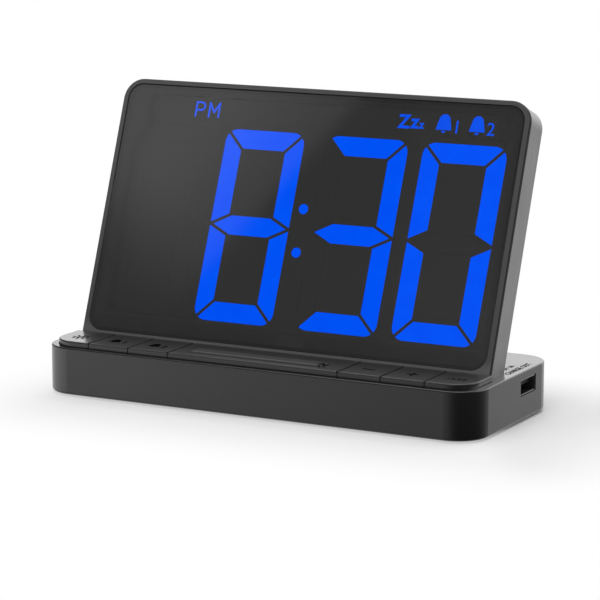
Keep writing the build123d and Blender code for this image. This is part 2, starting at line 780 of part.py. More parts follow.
# Fixed middle of the key deck: hollow block with the snooze slot, standing on the key frame
pocket_top = deck_top - key_top_wall
pocket_rear = head_front - (rim - key_bottom) * tan(radians(lean)) - key_rear_gap / lean_cos - key_wall
pocket_front = deck_front + key_wall
centre_edge = deck_centre_width / 2 - key_gap / 2
deck_post_x = centre_edge - key_wall - post_size / 2
deck_post_y = pocket_rear - post_size / 2
with BuildPart() as deck_centre:
    with BuildSketch(Plane.XY.offset(key_bottom)):
        add(deck_outline(0, -centre_edge, centre_edge))
    extrude(amount=deck_top - key_bottom)
    split(bisect_by=key_rear_plane, keep=Keep.TOP)
    fillet(deck_centre.edges().group_by(Axis.Z)[-1], key_edge_radius)
    with BuildSketch(Plane.XY.offset(key_bottom)):
        with Locations((0, (pocket_front + pocket_rear) / 2)):
            Rectangle(2 * (centre_edge - key_wall), pocket_rear - pocket_front)
    extrude(amount=pocket_top - key_bottom, mode=Mode.SUBTRACT)
    with BuildSketch(Plane.XY.offset(deck_top)):
        with Locations((0, bar_middle)):
            Rectangle(bar_length + 2 * bar_clearance, bar_depth + 2 * bar_clearance)
    extrude(amount=-key_top_wall, mode=Mode.SUBTRACT)
    with BuildSketch(Plane.XY.offset(frame_top)):
        with Locations((-deck_post_x, deck_post_y), (deck_post_x, deck_post_y)):
            Rectangle(post_size, post_size)
    extrude(amount=pocket_top - frame_top)
deck_centre.part.label = "deck_centre"
export_step(deck_centre.part, "parts/deck_centre.step")

# Snooze bar: capped bar with a flange that the deck holds down, a stem and two guides
bar_top = deck_top + bar_proud
bar_flange_top = pocket_top - flange_gap
bar_bottom = bar_flange_top - bar_flange_thickness
with BuildPart() as snooze_bar:
    with BuildSketch(Plane.XY.offset(bar_bottom)):
        with Locations((0, bar_middle)):
            Rectangle(bar_length, bar_depth)
    extrude(amount=bar_top - bar_bottom)
    fillet(snooze_bar.edges().group_by(Axis.Z)[-1], bar_edge_radius)
    with BuildSketch(Plane.XY.offset(bar_bottom)):
        with Locations((0, bar_middle)):
            Rectangle(bar_length + 2 * bar_flange, bar_depth + 2 * bar_flange)
    extrude(amount=bar_flange_thickness)
    add(key_stem([(0, bar_middle)], stem_size, plunger_top, bar_bottom))
    add(key_stem(guide_spots, bar_guide_size, frame_bottom + stem_dip, bar_bottom))
snooze_bar.part.label = "snooze_bar"
export_step(snooze_bar.part, "parts/snooze_bar.step")

with BuildPart() as snooze_plunger:
    add(switch_plunger((0, bar_middle)))
snooze_plunger.part.label = "snooze_plunger"
export_step(snooze_plunger.part, "parts/snooze_plunger.step")

# Six keys: hollow caps that wrap over the front edge of the deck, with a rear flange under the rim
flange_start = pocket_rear + key_wall / 2
flange_end = head_front + flange_reach
for side, side_name in ((-1, "left"), (1, "right")):
    for name, start, end, middle in zip(key_names, key_starts, key_ends, key_centres):
        left, right = sorted((side * start, side * end))
        with BuildPart() as key:
            with BuildSketch(Plane.XY.offset(key_bottom)):
                add(deck_outline(0, left, right))
            extrude(amount=deck_top - key_bottom)
            split(bisect_by=key_rear_plane, keep=Keep.TOP)
            fillet(key.edges().group_by(Axis.Z)[-1], key_edge_radius)
            with BuildSketch(Plane.XY.offset(key_bottom)):
                add(deck_outline(-key_wall, left + key_wall, right - key_wall))
                with Locations((middle * side, pocket_rear + base_depth / 2)):
                    Rectangle(base_width, base_depth, mode=Mode.SUBTRACT)
            extrude(amount=pocket_top - key_bottom, mode=Mode.SUBTRACT)
            with BuildSketch(Plane.XY.offset(key_bottom)):
                with Locations(((left + right) / 2, (flange_start + flange_end) / 2)):
                    Rectangle(right - left - 2 * flange_inset, flange_end - flange_start)
            extrude(amount=flange_thickness)
            add(key_stem([(side * middle, deck_middle)], stem_size, plunger_top, pocket_top))
        key_name = f"key_{side_name}_{name}"
        key.part.label = key_name
        export_step(key.part, f"parts/{key_name}.step")

        with BuildPart() as plunger:
            add(switch_plunger((side * middle, deck_middle)))
        plunger_name = f"plunger_{side_name}_{name}"
        plunger.part.label = plunger_name
        export_step(plunger.part, f"parts/{plunger_name}.step")

# Front frame of the display head: rounded edge, seat of the window and four screw pillars
with BuildPart() as display_bezel:
    with BuildSketch(head_plane):
        add(head_outline(0))
    extrude(amount=-bezel_depth)
    front_face = display_bezel.faces().sort_by(Axis((0, 0, 0), head_plane.z_dir))[-1]
    fillet(front_face.edges().sort_by(Axis.Z)[1:], bezel_edge_radius)
    split(bisect_by=rim_plane, keep=Keep.TOP)
    with BuildSketch(head_plane):
        add(window_outline(0))
    extrude(amount=-ledge_depth, mode=Mode.SUBTRACT)
    with BuildSketch(head_plane):
        add(window_outline(window_ledge))
    extrude(amount=-bezel_depth, mode=Mode.SUBTRACT)
    with BuildSketch(head_plane.offset(-mask_front)):
        with Locations(*pillar_spots):
            Circle(pillar_diameter / 2)
    extrude(amount=mask_front - pillar_end)
    with BuildSketch(head_plane.offset(-mask_front)):
        with Locations((-pillar_bottom_x, (pillar_bottom_up + window_bottom) / 2),
                       (pillar_bottom_x, (pillar_bottom_up + window_bottom) / 2)):
            Rectangle(pillar_diameter, pillar_bottom_up - window_bottom)
        with Locations((-pillar_top_x, (pillar_top_up + window_top) / 2),
                       (pillar_top_x, (pillar_top_up + window_top) / 2)):
            Rectangle(pillar_diameter, window_top - pillar_top_up)
    extrude(amount=mask_front - bezel_depth)
    with BuildSketch(head_plane.offset(-pillar_end)):
        with Locations(*pillar_spots):
            Circle(screw_shank_diameter / 2 + screw_clearance)
    extrude(amount=screw_bite, mode=Mode.SUBTRACT)
    split(bisect_by=rim_plane, keep=Keep.TOP)
display_bezel.part.label = "display_bezel"
export_step(display_bezel.part, "parts/display_bezel.step")

with BuildPart() as front_window:
    with BuildSketch(head_plane.offset(-window_recess)):
        add(window_outline(window_clearance))
    extrude(amount=-window_thickness)
front_window.part.label = "front_window"
export_step(front_window.part, "parts/front_window.step")

# Block behind the window with one light well for each segment, dot and indicator
mask_middle = (mask_bottom + mask_top) / 2
colon_spots = [(0, digit_middle + colon_dot_spacing / 2), (0, digit_middle - colon_dot_spacing / 2)]


def indicator_faces(grow):
    """Rectangles of the indicator wells above the digits, grown by a clearance."""
    with BuildSketch() as wells:
        for left, right in indicator_spans:
            with Locations(((left + right) / 2, indicator_middle)):
                Rectangle(right - left + 2 * grow, indicator_height + 2 * grow)
    return wells.sketch


def pillar_notches():
    """Room for the screw pillars and their webs at the edges of the block and of its board."""
    width = pillar_diameter + 2 * pillar_clearance
    with BuildSketch() as notches:
        with Locations(*pillar_spots):
            Circle(width / 2)
        with Locations((-pillar_top_x, (pillar_top_up + head_length) / 2),
                       (pillar_top_x, (pillar_top_up + head_length) / 2)):
            Rectangle(width, head_length - pillar_top_up)
        with Locations((-pillar_bottom_x, pillar_bottom_up / 2), (pillar_bottom_x, pillar_bottom_up / 2)):
            Rectangle(width, pillar_bottom_up)
    return notches.sketch


with BuildPart() as segment_mask:
    with BuildSketch(head_plane.offset(-mask_front)):
        with Locations((0, mask_middle)):
            Rectangle(2 * mask_half_width, mask_top - mask_bottom)
        add(pillar_notches(), mode=Mode.SUBTRACT)
        for centre in digit_centres:
            with Locations((centre, digit_middle)):
                add(digit_segments("abcdefg", lens_clearance), mode=Mode.SUBTRACT)
        with Locations(*colon_spots):
            Circle(colon_dot_diameter / 2 + lens_clearance, mode=Mode.SUBTRACT)
        add(indicator_faces(lens_clearance), mode=Mode.SUBTRACT)
    extrude(amount=-mask_thickness)
segment_mask.part.label = "segment_mask"
export_step(segment_mask.part, "parts/segment_mask.step")

# Light-spreading lenses in the wells: the lit digits of half past eight, then the unlit segments
digit_nodes = {
    "hour_digit": [(-inner_digit, "abcdefg")],
    "minute_tens_digit": [(inner_digit, "abcdg")],
    "minute_ones_digit": [(outer_digit, "abcdef")],
    "unlit_segments": [(-outer_digit, "abcdefg"), (inner_digit, "ef"), (outer_digit, "g")],
}
for digit_name, groups in digit_nodes.items():
    with BuildPart() as digit_lens:
        with BuildSketch(head_plane.offset(-mask_front)):
            for centre, letters in groups:
                with Locations((centre, digit_middle)):
                    add(digit_segments(letters, 0))
        extrude(amount=-lens_thickness)
    digit_lens.part.label = digit_name
    export_step(digit_lens.part, f"parts/{digit_name}.step")

with BuildPart() as colon_dots:
    with BuildSketch(head_plane.offset(-mask_front)):
        with Locations(*colon_spots):
            Circle(colon_dot_diameter / 2)
    extrude(amount=-lens_thickness)
colon_dots.part.label = "colon_dots"
export_step(colon_dots.part, "parts/colon_dots.step")

with BuildPart() as indicator_lens:
    with BuildSketch(head_plane.offset(-mask_front)):
        add(indicator_faces(0))
    extrude(amount=-lens_thickness)
indicator_lens.part.label = "indicator_lens"
export_step(indicator_lens.part, "parts/indicator_lens.step")

# Circuit board of the display with its lamps, driver and cable socket
with BuildPart() as display_board:
    with BuildSketch(head_plane.offset(-lamp_board_front)):
        with Locations((0, mask_middle)):
            Rectangle(2 * mask_half_width, mask_top - mask_bottom)
        add(pillar_notches(), mode=Mode.SUBTRACT)
    extrude(amount=-display_board_thickness)
display_board.part.label = "display_board"
export_step(display_board.part, "parts/display_board.step")

row_reach = (digit_height - digit_stroke) / 2
column_reach = (digit_width - digit_stroke) / 2
with BuildPart() as segment_lamps:
    with BuildSketch(head_plane.offset(-lamp_board_front)):
        for centre in digit_centres:
            with Locations((centre, digit_middle)):
                with GridLocations(column_reach / 2, row_reach, 2, 3):
                    Rectangle(lamp_length, lamp_width)
            with Locations((centre, digit_middle + row_reach / 2), (centre, digit_middle - row_reach / 2)):
                with GridLocations(2 * column_reach, row_reach / 3, 2, 2):
                    Rectangle(lamp_width, lamp_length)
        with Locations(*colon_spots):
            Rectangle(lamp_length, lamp_width)
        for left, right in indicator_spans:
            with Locations(((left + right) / 2, indicator_middle)):
                Rectangle(lamp_length, lamp_width)
    extrude(amount=lamp_height)
segment_lamps.part.label = "segment_lamps"
export_step(segment_lamps.part, "parts/segment_lamps.step")

with BuildPart() as display_driver:
    with BuildSketch(head_plane.offset(-lamp_board_back)):
        with Locations((0, driver_up)):
            Rectangle(driver_length, driver_width)
    extrude(amount=-driver_height)
display_driver.part.label = "display_driver"
export_step(display_driver.part, "parts/display_driver.step")

with BuildPart() as ribbon_sockets:
    with BuildSketch(head_plane.offset(-lamp_board_back)):
        with Locations((0, socket_up + socket_depth / 2)):
            Rectangle(socket_width, socket_depth)
    extrude(amount=-socket_height)
    with BuildSketch(Plane.XY.offset(board_top)):
        with Locations((0, ribbon_y)):
            Rectangle(socket_width, socket_depth)
    extrude(amount=socket_height)
ribbon_sockets.part.label = "ribbon_sockets"
export_step(ribbon_sockets.part, "parts/ribbon_sockets.step")

# Flat cable: down the back of the display board, through the neck, to the main board
with BuildPart() as display_ribbon:
    with BuildSketch(Plane.YZ.offset(-ribbon_width / 2)):
        with BuildLine():
            start = (head_front + socket_up * lean_sin + ribbon_depth * lean_cos,
                     rim + socket_up * lean_cos - ribbon_depth * lean_sin)
            turn = (ribbon_y, rim + head_wall)
            end = (ribbon_y, board_top + socket_height)
            FilletPolyline(start, turn, end, radius=ribbon_bend)
        trace(line_width=ribbon_thickness)
    extrude(amount=ribbon_width)
    split(bisect_by=Plane.XY.offset(board_top + socket_height), keep=Keep.TOP)
display_ribbon.part.label = "display_ribbon"
export_step(display_ribbon.part, "parts/display_ribbon.step")

# Rear shell of the display head: rounded back, screw columns, board clamps and the neck
rear_depth = head_thickness - bezel_depth


def head_cavity():
    """Hollow of the rear shell, closed below by a level floor."""
    with BuildPart() as cavity:
        with BuildSketch(head_plane.offset(-bezel_depth)):
            add(head_outline(parting_step + head_wall))
        extrude(amount=head_wall - rear_depth)
        split(bisect_by=Plane.XY.offset(rim + head_wall), keep=Keep.TOP)
    return cavity.part


with BuildPart() as display_rear_housing:
    with BuildSketch(head_plane.offset(-bezel_depth)):
        add(head_outline(parting_step))
    extrude(amount=-rear_depth)
    rear_face = display_rear_housing.faces().sort_by(Axis((0, 0, 0), head_plane.z_dir))[0]
    fillet(rear_face.edges().sort_by(Axis.Z)[1:], head_rear_radius)
    split(bisect_by=rim_plane, keep=Keep.TOP)
    add(head_cavity(), mode=Mode.SUBTRACT)
    with BuildSketch(head_plane.offset(-pillar_end)):
        with Locations(*pillar_spots):
            Circle(screw_head_diameter / 2 + screw_hole_clearance + head_wall / 2)
    extrude(amount=pillar_end + head_wall - head_thickness)
    clamp_length = head_thickness - head_wall - lamp_board_back
    with BuildSketch(head_plane.offset(-lamp_board_back)):
        with Locations((0, mask_middle)):
            with GridLocations(2 * pillar_bottom_x, mask_middle, 2, 2):
                Circle(clamp_post_diameter / 2)
    extrude(amount=-clamp_length)
    split(bisect_by=rim_plane, keep=Keep.TOP)
    with Locations(*[(x, y, rim) for x, y in neck_screw_spots]):
        Cylinder(neck_boss_diameter / 2, neck_boss_height, align=(Align.CENTER, Align.CENTER, Align.MIN))
    with BuildSketch(rim_plane):
        with Locations((0, neck_y)):
            Rectangle(tenon_width, tenon_depth)
    extrude(amount=-rim_thickness - tenon_drop)
    # Holes: screw seats in the back, pilot holes of the neck screws and the way of the cable
    with BuildSketch(head_plane.offset(-head_thickness)):
        with Locations(*pillar_spots):
            Circle(screw_shank_diameter / 2 + screw_hole_clearance)
    extrude(amount=head_thickness - pillar_end, mode=Mode.SUBTRACT)
    with BuildSketch(head_plane.offset(-head_thickness)):
        with Locations(*pillar_spots):
            Circle(screw_head_diameter / 2 + screw_hole_clearance)
    extrude(amount=head_thickness - pillar_end - head_wall, mode=Mode.SUBTRACT)
    with BuildSketch(rim_plane):
        with Locations(*neck_screw_spots):
            Circle(screw_shank_diameter / 2 + screw_clearance)
    extrude(amount=screw_bite, mode=Mode.SUBTRACT)
    with BuildSketch(Plane.XY.offset(rim + head_wall)):
        with Locations((0, ribbon_y)):
            Rectangle(ribbon_width + 2 * ribbon_clearance, ribbon_thickness + 2 * ribbon_clearance)
    extrude(amount=-head_wall - rim_thickness - tenon_drop, mode=Mode.SUBTRACT)
display_rear_housing.part.label = "display_rear_housing"
export_step(display_rear_housing.part, "parts/display_rear_housing.step")

# Screws of the display head: four from the back, two up through the rim into the neck bosses
with BuildPart() as display_screws:
    with Locations(head_plane.offset(-pillar_end - head_wall)):
        with Locations(*[(x, y, 0) for x, y in pillar_spots]):
            add(screw(head_wall + screw_bite - screw_clearance))
display_screws.part.label = "display_screws"
export_step(display_screws.part, "parts/display_screws.step")

with BuildPart() as neck_screws:
    with Locations(*[(x, y, ceiling) for x, y in neck_screw_spots]):
        add(screw(rim_thickness + screw_bite - screw_clearance))
neck_screws.part.label = "neck_screws"
export_step(neck_screws.part, "parts/neck_screws.step")

print(f"rim {rim:.2f}, deck {deck_top:.2f}, top {rim + head_length * lean_cos:.2f}")
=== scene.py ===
import math
import bpy
from mathutils import Matrix, Vector


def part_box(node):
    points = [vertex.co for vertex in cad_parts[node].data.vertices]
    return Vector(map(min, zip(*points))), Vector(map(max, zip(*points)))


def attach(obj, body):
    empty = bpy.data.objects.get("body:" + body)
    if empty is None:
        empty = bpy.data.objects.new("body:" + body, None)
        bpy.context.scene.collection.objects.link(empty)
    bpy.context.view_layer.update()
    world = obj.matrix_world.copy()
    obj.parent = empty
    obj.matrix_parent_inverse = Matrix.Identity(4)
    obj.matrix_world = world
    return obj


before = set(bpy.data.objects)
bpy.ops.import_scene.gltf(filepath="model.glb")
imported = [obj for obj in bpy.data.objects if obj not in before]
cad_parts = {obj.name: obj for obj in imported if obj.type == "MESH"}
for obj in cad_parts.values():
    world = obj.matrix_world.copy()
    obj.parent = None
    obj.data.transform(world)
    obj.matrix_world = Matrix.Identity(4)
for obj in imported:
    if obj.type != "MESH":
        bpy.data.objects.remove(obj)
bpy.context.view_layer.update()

# Base shell: the upper half of the base, one moulding in near-black plastic with a satin spark-eroded
# grain. It hangs over the floor of the base, and four screws from below draw the two together. A thin band
# along the top of its rim is painted paler, a painted highlight, and its foot has a little less sheen.
base_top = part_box("base_housing")[1].z
base_tone = 0.006
rim_highlight_tone = 0.030
foot_sheen = 0.86
drift_size = 0.018
grain_size = 0.00028
grain_relief = 0.000012


class Field:
    """A shader socket that the signs of arithmetic work on."""

    def __init__(self, socket):
        self.socket = socket
        self.tree = socket.id_data

    def node(self, kind, settings=None, inputs=None, output=0):
        """Adds a node of a kind: its settings first, then the values or links of its sockets."""
        made = self.tree.nodes.new(kind)
        for name, setting in (settings or {}).items():
            setattr(made, name, setting)
        for name, value in (inputs or {}).items():
            if isinstance(value, Field):
                self.tree.links.new(value.socket, made.inputs[name])
            else:
                made.inputs[name].default_value = value
        return Field(made.outputs[output])

    def calculate(self, operation, first, second=0.0):
        """One sum of any kind on two values or fields."""
        return self.node("ShaderNodeMath", {"operation": operation}, {0: first, 1: second})

    def __add__(self, other):
        return self.calculate("ADD", self, other)

    def __radd__(self, other):
        return self.calculate("ADD", other, self)

    def __sub__(self, other):
        return self.calculate("SUBTRACT", self, other)

    def __rsub__(self, other):
        return self.calculate("SUBTRACT", other, self)

    def __mul__(self, other):
        return self.calculate("MULTIPLY", self, other)

    def __rmul__(self, other):
        return self.calculate("MULTIPLY", other, self)

    def __truediv__(self, other):
        return self.calculate("DIVIDE", self, other)

    def __pow__(self, other):
        return self.calculate("POWER", self, other)

    def __abs__(self):
        return self.calculate("ABSOLUTE", self)

    def at_most(self, limit):
        """This field, held down to a limit."""
        return self.calculate("MINIMUM", self, limit)

    def at_least(self, limit):
        """This field, held up to a limit."""
        return self.calculate("MAXIMUM", self, limit)

    def axis(self, letter):
        """One of the three parts of this vector."""
        split = self.node("ShaderNodeSeparateXYZ", {}, {0: self})
        return Field(split.socket.node.outputs[letter])

    def vector(self, x, y, z=0.0):
        """A vector made of three values or fields."""
        return self.node("ShaderNodeCombineXYZ", {}, {0: x, 1: y, 2: z})

    def stretched(self, x, y, z):
        """This vector with each of its parts times a factor."""
        return self.node("ShaderNodeMapping", {}, {"Vector": self, "Scale": (x, y, z)})

    def length(self):
        """How long this vector is."""
        return self.node("ShaderNodeVectorMath", {"operation": "LENGTH"}, {0: self}, 1)

    def dot(self, way):
        """How far this vector reaches along a way."""
        return self.node("ShaderNodeVectorMath", {"operation": "DOT_PRODUCT"}, {0: self, 1: way}, 1)

    def noise(self, size, detail=2.0):
        """Even noise between 0 and 1 whose blots are about one size across, in metres."""
        inputs = {"Vector": self, "Scale": 1.0 / size, "Detail": detail}
        return self.node("ShaderNodeTexNoise", {}, inputs)

    def stripes(self, letter, scale):
        """Waves between 0 and 1 that follow one another along an axis."""
        return self.node("ShaderNodeTexWave", {"bands_direction": letter}, {"Vector": self, "Scale": scale})

    def rise(self, low, high, bottom=0.0, top=1.0):
        """Goes smoothly from the bottom to the top value while this one goes from low to high."""
        inputs = {"Value": self, "From Min": low, "From Max": high, "To Min": bottom, "To Max": top}
        return self.node("ShaderNodeMapRange", {"interpolation_type": "SMOOTHSTEP"}, inputs)

    def fall(self, low, high):
        """Goes smoothly from one to zero while this field goes from low to high."""
        return self.rise(low, high, 1.0, 0.0)

    def between(self, first, second):
        """The colour that lies this far from the first colour to the second."""
        return self.node("ShaderNodeMix", {"data_type": "RGBA"}, {0: self, 6: first, 7: second}, 2)

    def bump(self, height):
        """The surface normal on a relief that this field draws, as high as the height in metres."""
        return self.node("ShaderNodeBump", {}, {"Height": self, "Distance": height})


def grey(level):
    """A neutral colour of one level, in linear light."""
    return (level, level, level, 1.0)


def new_finish(name):
    """A new material with its shader and the place on the piece that its patterns read."""
    material = bpy.data.materials.new(name)
    material.use_nodes = True
    shader = material.node_tree.nodes["Principled BSDF"]
    coordinates = material.node_tree.nodes.new("ShaderNodeTexCoord")
    return material, shader, Field(coordinates.outputs["Object"])


def feed(shader, **sockets):
    """Sets or links sockets of a shader, named with an underscore for each space."""
    for name, value in sockets.items():
        socket = shader.inputs[name.replace("_", " ")]
        if isinstance(value, Field):
            value.tree.links.new(value.socket, socket)
        else:
            socket.default_value = value


def satin(place, rough, grain=grain_size):
    """Slow drifts and a fine grain for a moulding, and its roughness, which both of them vary."""
    drift = place.noise(drift_size)
    specks = place.noise(grain, 3.0)
    return drift, specks, rough + 0.10 * (drift - 0.5) + 0.06 * (specks - 0.5)


def moulded(name, dark, light, rough, grain=grain_size, relief=grain_relief):
    """Moulded plastic that drifts between two tones, with a satin grain."""
    material, shader, place = new_finish(name)
    drift, specks, gloss = satin(place, rough, grain)
    feed(shader, Base_Color=drift.rise(0.3, 0.7).between(dark, light), Roughness=gloss)
    feed(shader, Normal=specks.bump(relief))
    return material


def dress(material, *nodes):
    """Puts a finish on CAD nodes."""
    for node in nodes:
        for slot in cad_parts[node].material_slots:
            slot.material = material


base_finish, shader, place = new_finish("base_satin_plastic")
drift, specks, gloss = satin(place, rough=0.30)
height = place.axis("Z")
# Painted highlight: a thin band at the top of the rim is painted paler.
painted_rim_highlight = height.rise(base_top - 0.00015, base_top - 0.00003)
sheen = height.rise(0.001, 0.015, foot_sheen, 1.0)
feed(shader, Base_Color=base_tone + 0.002 * drift + rim_highlight_tone * painted_rim_highlight, Roughness=gloss)
feed(shader, Normal=specks.bump(grain_relief), Coat_Weight=sheen, Coat_Roughness=0.2)
dress(base_finish, "base_housing")

# Main board: a green glass laminate with copper tracks under its lacquer, screwed to two bosses of the
# shell. Its chip, buzzer, cable sockets and push switches are soldered on.
board_green = (0.006, 0.045, 0.018, 1.0)
track_green = (0.012, 0.085, 0.03, 1.0)
copper = (0.5, 0.36, 0.2, 1.0)
laminate, shader, place = new_finish("green_board_laminate")
crosswise = place.stripes("X", 90.0).rise(0.55, 0.65)
lengthwise = place.stripes("Y", 70.0).rise(0.55, 0.65)
patches = place.noise(0.012).rise(0.46, 0.54)
tracks = patches * crosswise + (1 - patches) * lengthwise
feed(shader, Base_Color=tracks.between(board_green, track_green))
feed(shader, Roughness=0.35 + 0.1 * tracks, Normal=tracks.bump(0.00003))
dress(laminate, "main_board", "display_board")

chip_finish = moulded("black_epoxy", grey(0.012), grey(0.02), rough=0.55, grain=0.0002, relief=0.00001)
dress(chip_finish, "control_chip", "buzzer", "display_driver", "switch_bodies", "ribbon_sockets")

film, shader, place = new_finish("ribbon_film")
wires = place.stripes("X", 314.0)
feed(shader, Base_Color=wires.rise(0.45, 0.6).between(grey(0.55), copper))
feed(shader, Roughness=0.3 + 0.1 * wires, Normal=wires.bump(0.00002))
dress(film, "display_ribbon")

# Screws: zinc-plated steel with a crossed drive, the plating dulled by fine scuffs. They hold the
# boards, the floor, the neck and the rear shell of the head.
zinc, shader, place = new_finish("zinc_plated_steel")
scuffs = place.noise(0.0006, 4.0)
feed(shader, Base_Color=scuffs.between(grey(0.42), grey(0.6)), Metallic=1.0)
feed(shader, Roughness=0.28 + 0.2 * scuffs, Normal=scuffs.bump(0.000008))
dress(zinc, "base_screws", "board_screws", "battery_door_screw", "display_screws", "neck_screws")

# Charging port: a folded steel shell round a black tongue with four gilt contact strips, soldered to
# the main board so that its mouth stands in the right wall of the base.
strip_count = 4
strip_width = 0.0011
strip_height = 0.00012
strip_pitch = 0.0022
strip_length = 0.0074
strip_setback = 0.0004
dull_gilt = (0.62, 0.40, 0.12, 1.0)
bright_gilt = (0.75, 0.52, 0.20, 1.0)
port_steel, shader, place = new_finish("folded_port_steel")
rolling = place.stretched(0.08, 1.0, 1.0).noise(0.0004, 3.0)
feed(shader, Base_Color=rolling.between(grey(0.45), grey(0.62)), Metallic=1.0)
feed(shader, Roughness=0.22 + 0.16 * rolling, Normal=rolling.bump(0.000004))
dress(port_steel, "usb_socket", "dc_jack_pin")

port_black = moulded("black_port_nylon", grey(0.010), grey(0.016), rough=0.45)
dress(port_black, "usb_tongue", "dc_jack")


def begin_piece(name):
    """Names the object under work and returns it."""
    piece = bpy.context.object
    piece.name = name
    piece.data.name = name
    return piece


def clear_selection():
    """Deselects every object."""
    bpy.ops.object.select_all(action="DESELECT")


def pick(piece):
    """Makes one object the only one under work."""
    clear_selection()
    piece.select_set(True)
    bpy.context.view_layer.objects.active = piece


def write_place():
    """Writes the place, turn and size of the object under work into its mesh."""
    bpy.ops.object.transform_apply(location=True, rotation=True, scale=True)


def finish_piece(piece, material, body):
    """Gives a finished piece its finish and the body that carries it."""
    piece.data.materials.clear()
    piece.data.materials.append(material)
    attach(piece, body)


def join_pieces(name, pieces):
    """Joins pieces into one object of a name."""
    pick(pieces[0])
    for piece in pieces[1:]:
        piece.select_set(True)
    bpy.ops.object.join()
    return begin_piece(name)


def settle(piece):
    """Writes the object's place into its mesh and turns its faces outward."""
    pick(piece)
    write_place()
    bpy.ops.object.mode_set(mode="EDIT")
    bpy.ops.mesh.select_all(action="SELECT")
    bpy.ops.mesh.remove_doubles(threshold=1e-7)
    bpy.ops.mesh.normals_make_consistent(inside=False)
    bpy.ops.object.mode_set(mode="OBJECT")


tongue_low, tongue_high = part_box("usb_tongue")
strip_x = tongue_high.x - strip_length / 2 - strip_setback
strip_z = tongue_low.z - strip_height / 4
strips = []
for number in range(strip_count):
    clear_selection()
    bpy.ops.mesh.primitive_cube_add(size=1.0)
    strip = begin_piece("contact_strip")
    strip.scale = (strip_length, strip_width, strip_height)
    strip_y = (tongue_low.y + tongue_high.y) / 2 + (number - (strip_count - 1) / 2) * strip_pitch
    strip.location = (strip_x, strip_y, strip_z)
    write_place()
    nose = strip.modifiers.new("nose", "BEVEL")
    nose.width = strip_height / 3
    nose.segments = 2
    bpy.ops.object.modifier_apply(modifier="nose")
    strips.append(strip)
contact_strips = join_pieces("port_contact_strips", strips)
settle(contact_strips)
gilt, shader, place = new_finish("gilt_contact")
wiped = place.noise(0.0005)
feed(shader, Base_Color=wiped.between(dull_gilt, bright_gilt), Metallic=1.0, Roughness=0.2 + 0.15 * wiped)
finish_piece(contact_strips, gilt, "base")

# Key deck: the fixed middle with the snooze slot and six keys that wrap over its front edge. They are
# moulded in the same near-black plastic as the base. Their tops are painted paler, with painted light growing
# towards the front edge and painted shade near the head.
# Each key has painted shade along the gaps beside it, and painted light on its walls down in the groove and
# between the keys.
deck_low, deck_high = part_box("deck_centre")
key_names = ["left_outer", "left_middle", "left_inner", "right_inner", "right_middle", "right_outer"]
first_gap = 0.0352
key_pitch = 0.0172
front_light_reach = 0.020
wall_tone = 0.012
painted_top_tone = 0.034
painted_front_tone = 0.066
painted_panel_shade = 0.019
groove_light_tone = 0.2
gap_light_tone = 0.04
deck_finish, shader, place = new_finish("deck_satin_plastic")
drift, specks, gloss = satin(place, rough=0.32)
height = place.axis("Z")
on_top = height.rise(deck_high.z - 0.0005, deck_high.z - 0.0001)
flat_top = height.rise(deck_high.z - 0.00012, deck_high.z - 0.00003)
painted_groove_light = height.fall(base_top - 0.0004, base_top - 0.0001)
# Painted light and shade: the flat key tops are painted paler towards the front edge and darker near the
# head.
painted_front_light = place.axis("Y").fall(deck_low.y, deck_low.y + front_light_reach)
from_gap = (abs(place.axis("X")) - first_gap).at_least(-key_pitch / 2).at_most(2.5 * key_pitch)
from_gap = place.calculate("PINGPONG", from_gap, key_pitch / 2)
# Painted shade along the gaps between the keys, and painted light on the walls in the groove and in the gaps.
key_edge_shade = on_top * from_gap.fall(0.00035, 0.0006)
painted_gap_light = (1 - on_top) * from_gap.fall(0.00023, 0.00024)
tone = wall_tone + 0.003 * drift + painted_top_tone * on_top + flat_top * (painted_front_tone * painted_front_light - painted_panel_shade)
tone = tone * (1 - 0.8 * key_edge_shade) + groove_light_tone * painted_groove_light + gap_light_tone * painted_gap_light
polish = (0.85 - 0.65 * on_top + 0.80 * flat_top) * (1 - key_edge_shade)
feed(shader, Base_Color=tone, Roughness=gloss + 0.4 * key_edge_shade)
feed(shader, Normal=specks.bump(grain_relief), Coat_Weight=polish, Coat_Roughness=0.2)
dress(deck_finish, "deck_centre", *["key_" + name for name in key_names])

frame_plastic = moulded("grey_frame_plastic", grey(0.05), grey(0.07), rough=0.5)
dress(frame_plastic, "key_frame")
plunger_plastic = moulded("pale_plunger_plastic", grey(0.35), grey(0.42), rough=0.45)
dress(plunger_plastic, "snooze_plunger", *["plunger_" + name for name in key_names])

# Key marks: matt black signs pad-printed on the key tops, a thin film of ink that moves with its key.
# The signs are plain ones: a lamp for brightness, two bells, minus, plus and the count of hours.
ink_thickness = 0.00005
sign_sink = 0.00001
sign_y = -0.0248
stroke = 0.0009
minus_reach = 0.0022
plus_reach = 0.0020
ink, shader, place = new_finish("matt_black_ink")
soak = place.noise(0.0004)
feed(shader, Base_Color=soak.between(grey(0.003), grey(0.006)), Roughness=0.75 + 0.2 * soak)
feed(shader, Normal=soak.bump(0.000004), Specular_IOR_Level=0.0)


def thicken(piece, thickness):
    """Gives a flat sign its film thickness, towards +Z."""
    pick(piece)
    film_modifier = piece.modifiers.new("film", "SOLIDIFY")
    film_modifier.thickness = thickness
    film_modifier.offset = 1.0
    bpy.ops.object.modifier_apply(modifier="film")


def select_where(piece, kind, test):
    """Selects the edges or faces, in edit mode, whose middle passes the test."""
    bpy.ops.mesh.select_all(action="DESELECT")
    bpy.ops.object.mode_set(mode="OBJECT")
    points = piece.data.vertices
    chosen = 0
    for item in getattr(piece.data, kind):
        middle = sum((points[index].co for index in item.vertices), Vector()) / len(item.vertices)
        if test(middle):
            item.select = True
            chosen += 1
    bpy.ops.object.mode_set(mode="EDIT")
    if not chosen:
        raise ValueError("nothing was selected on " + piece.name)


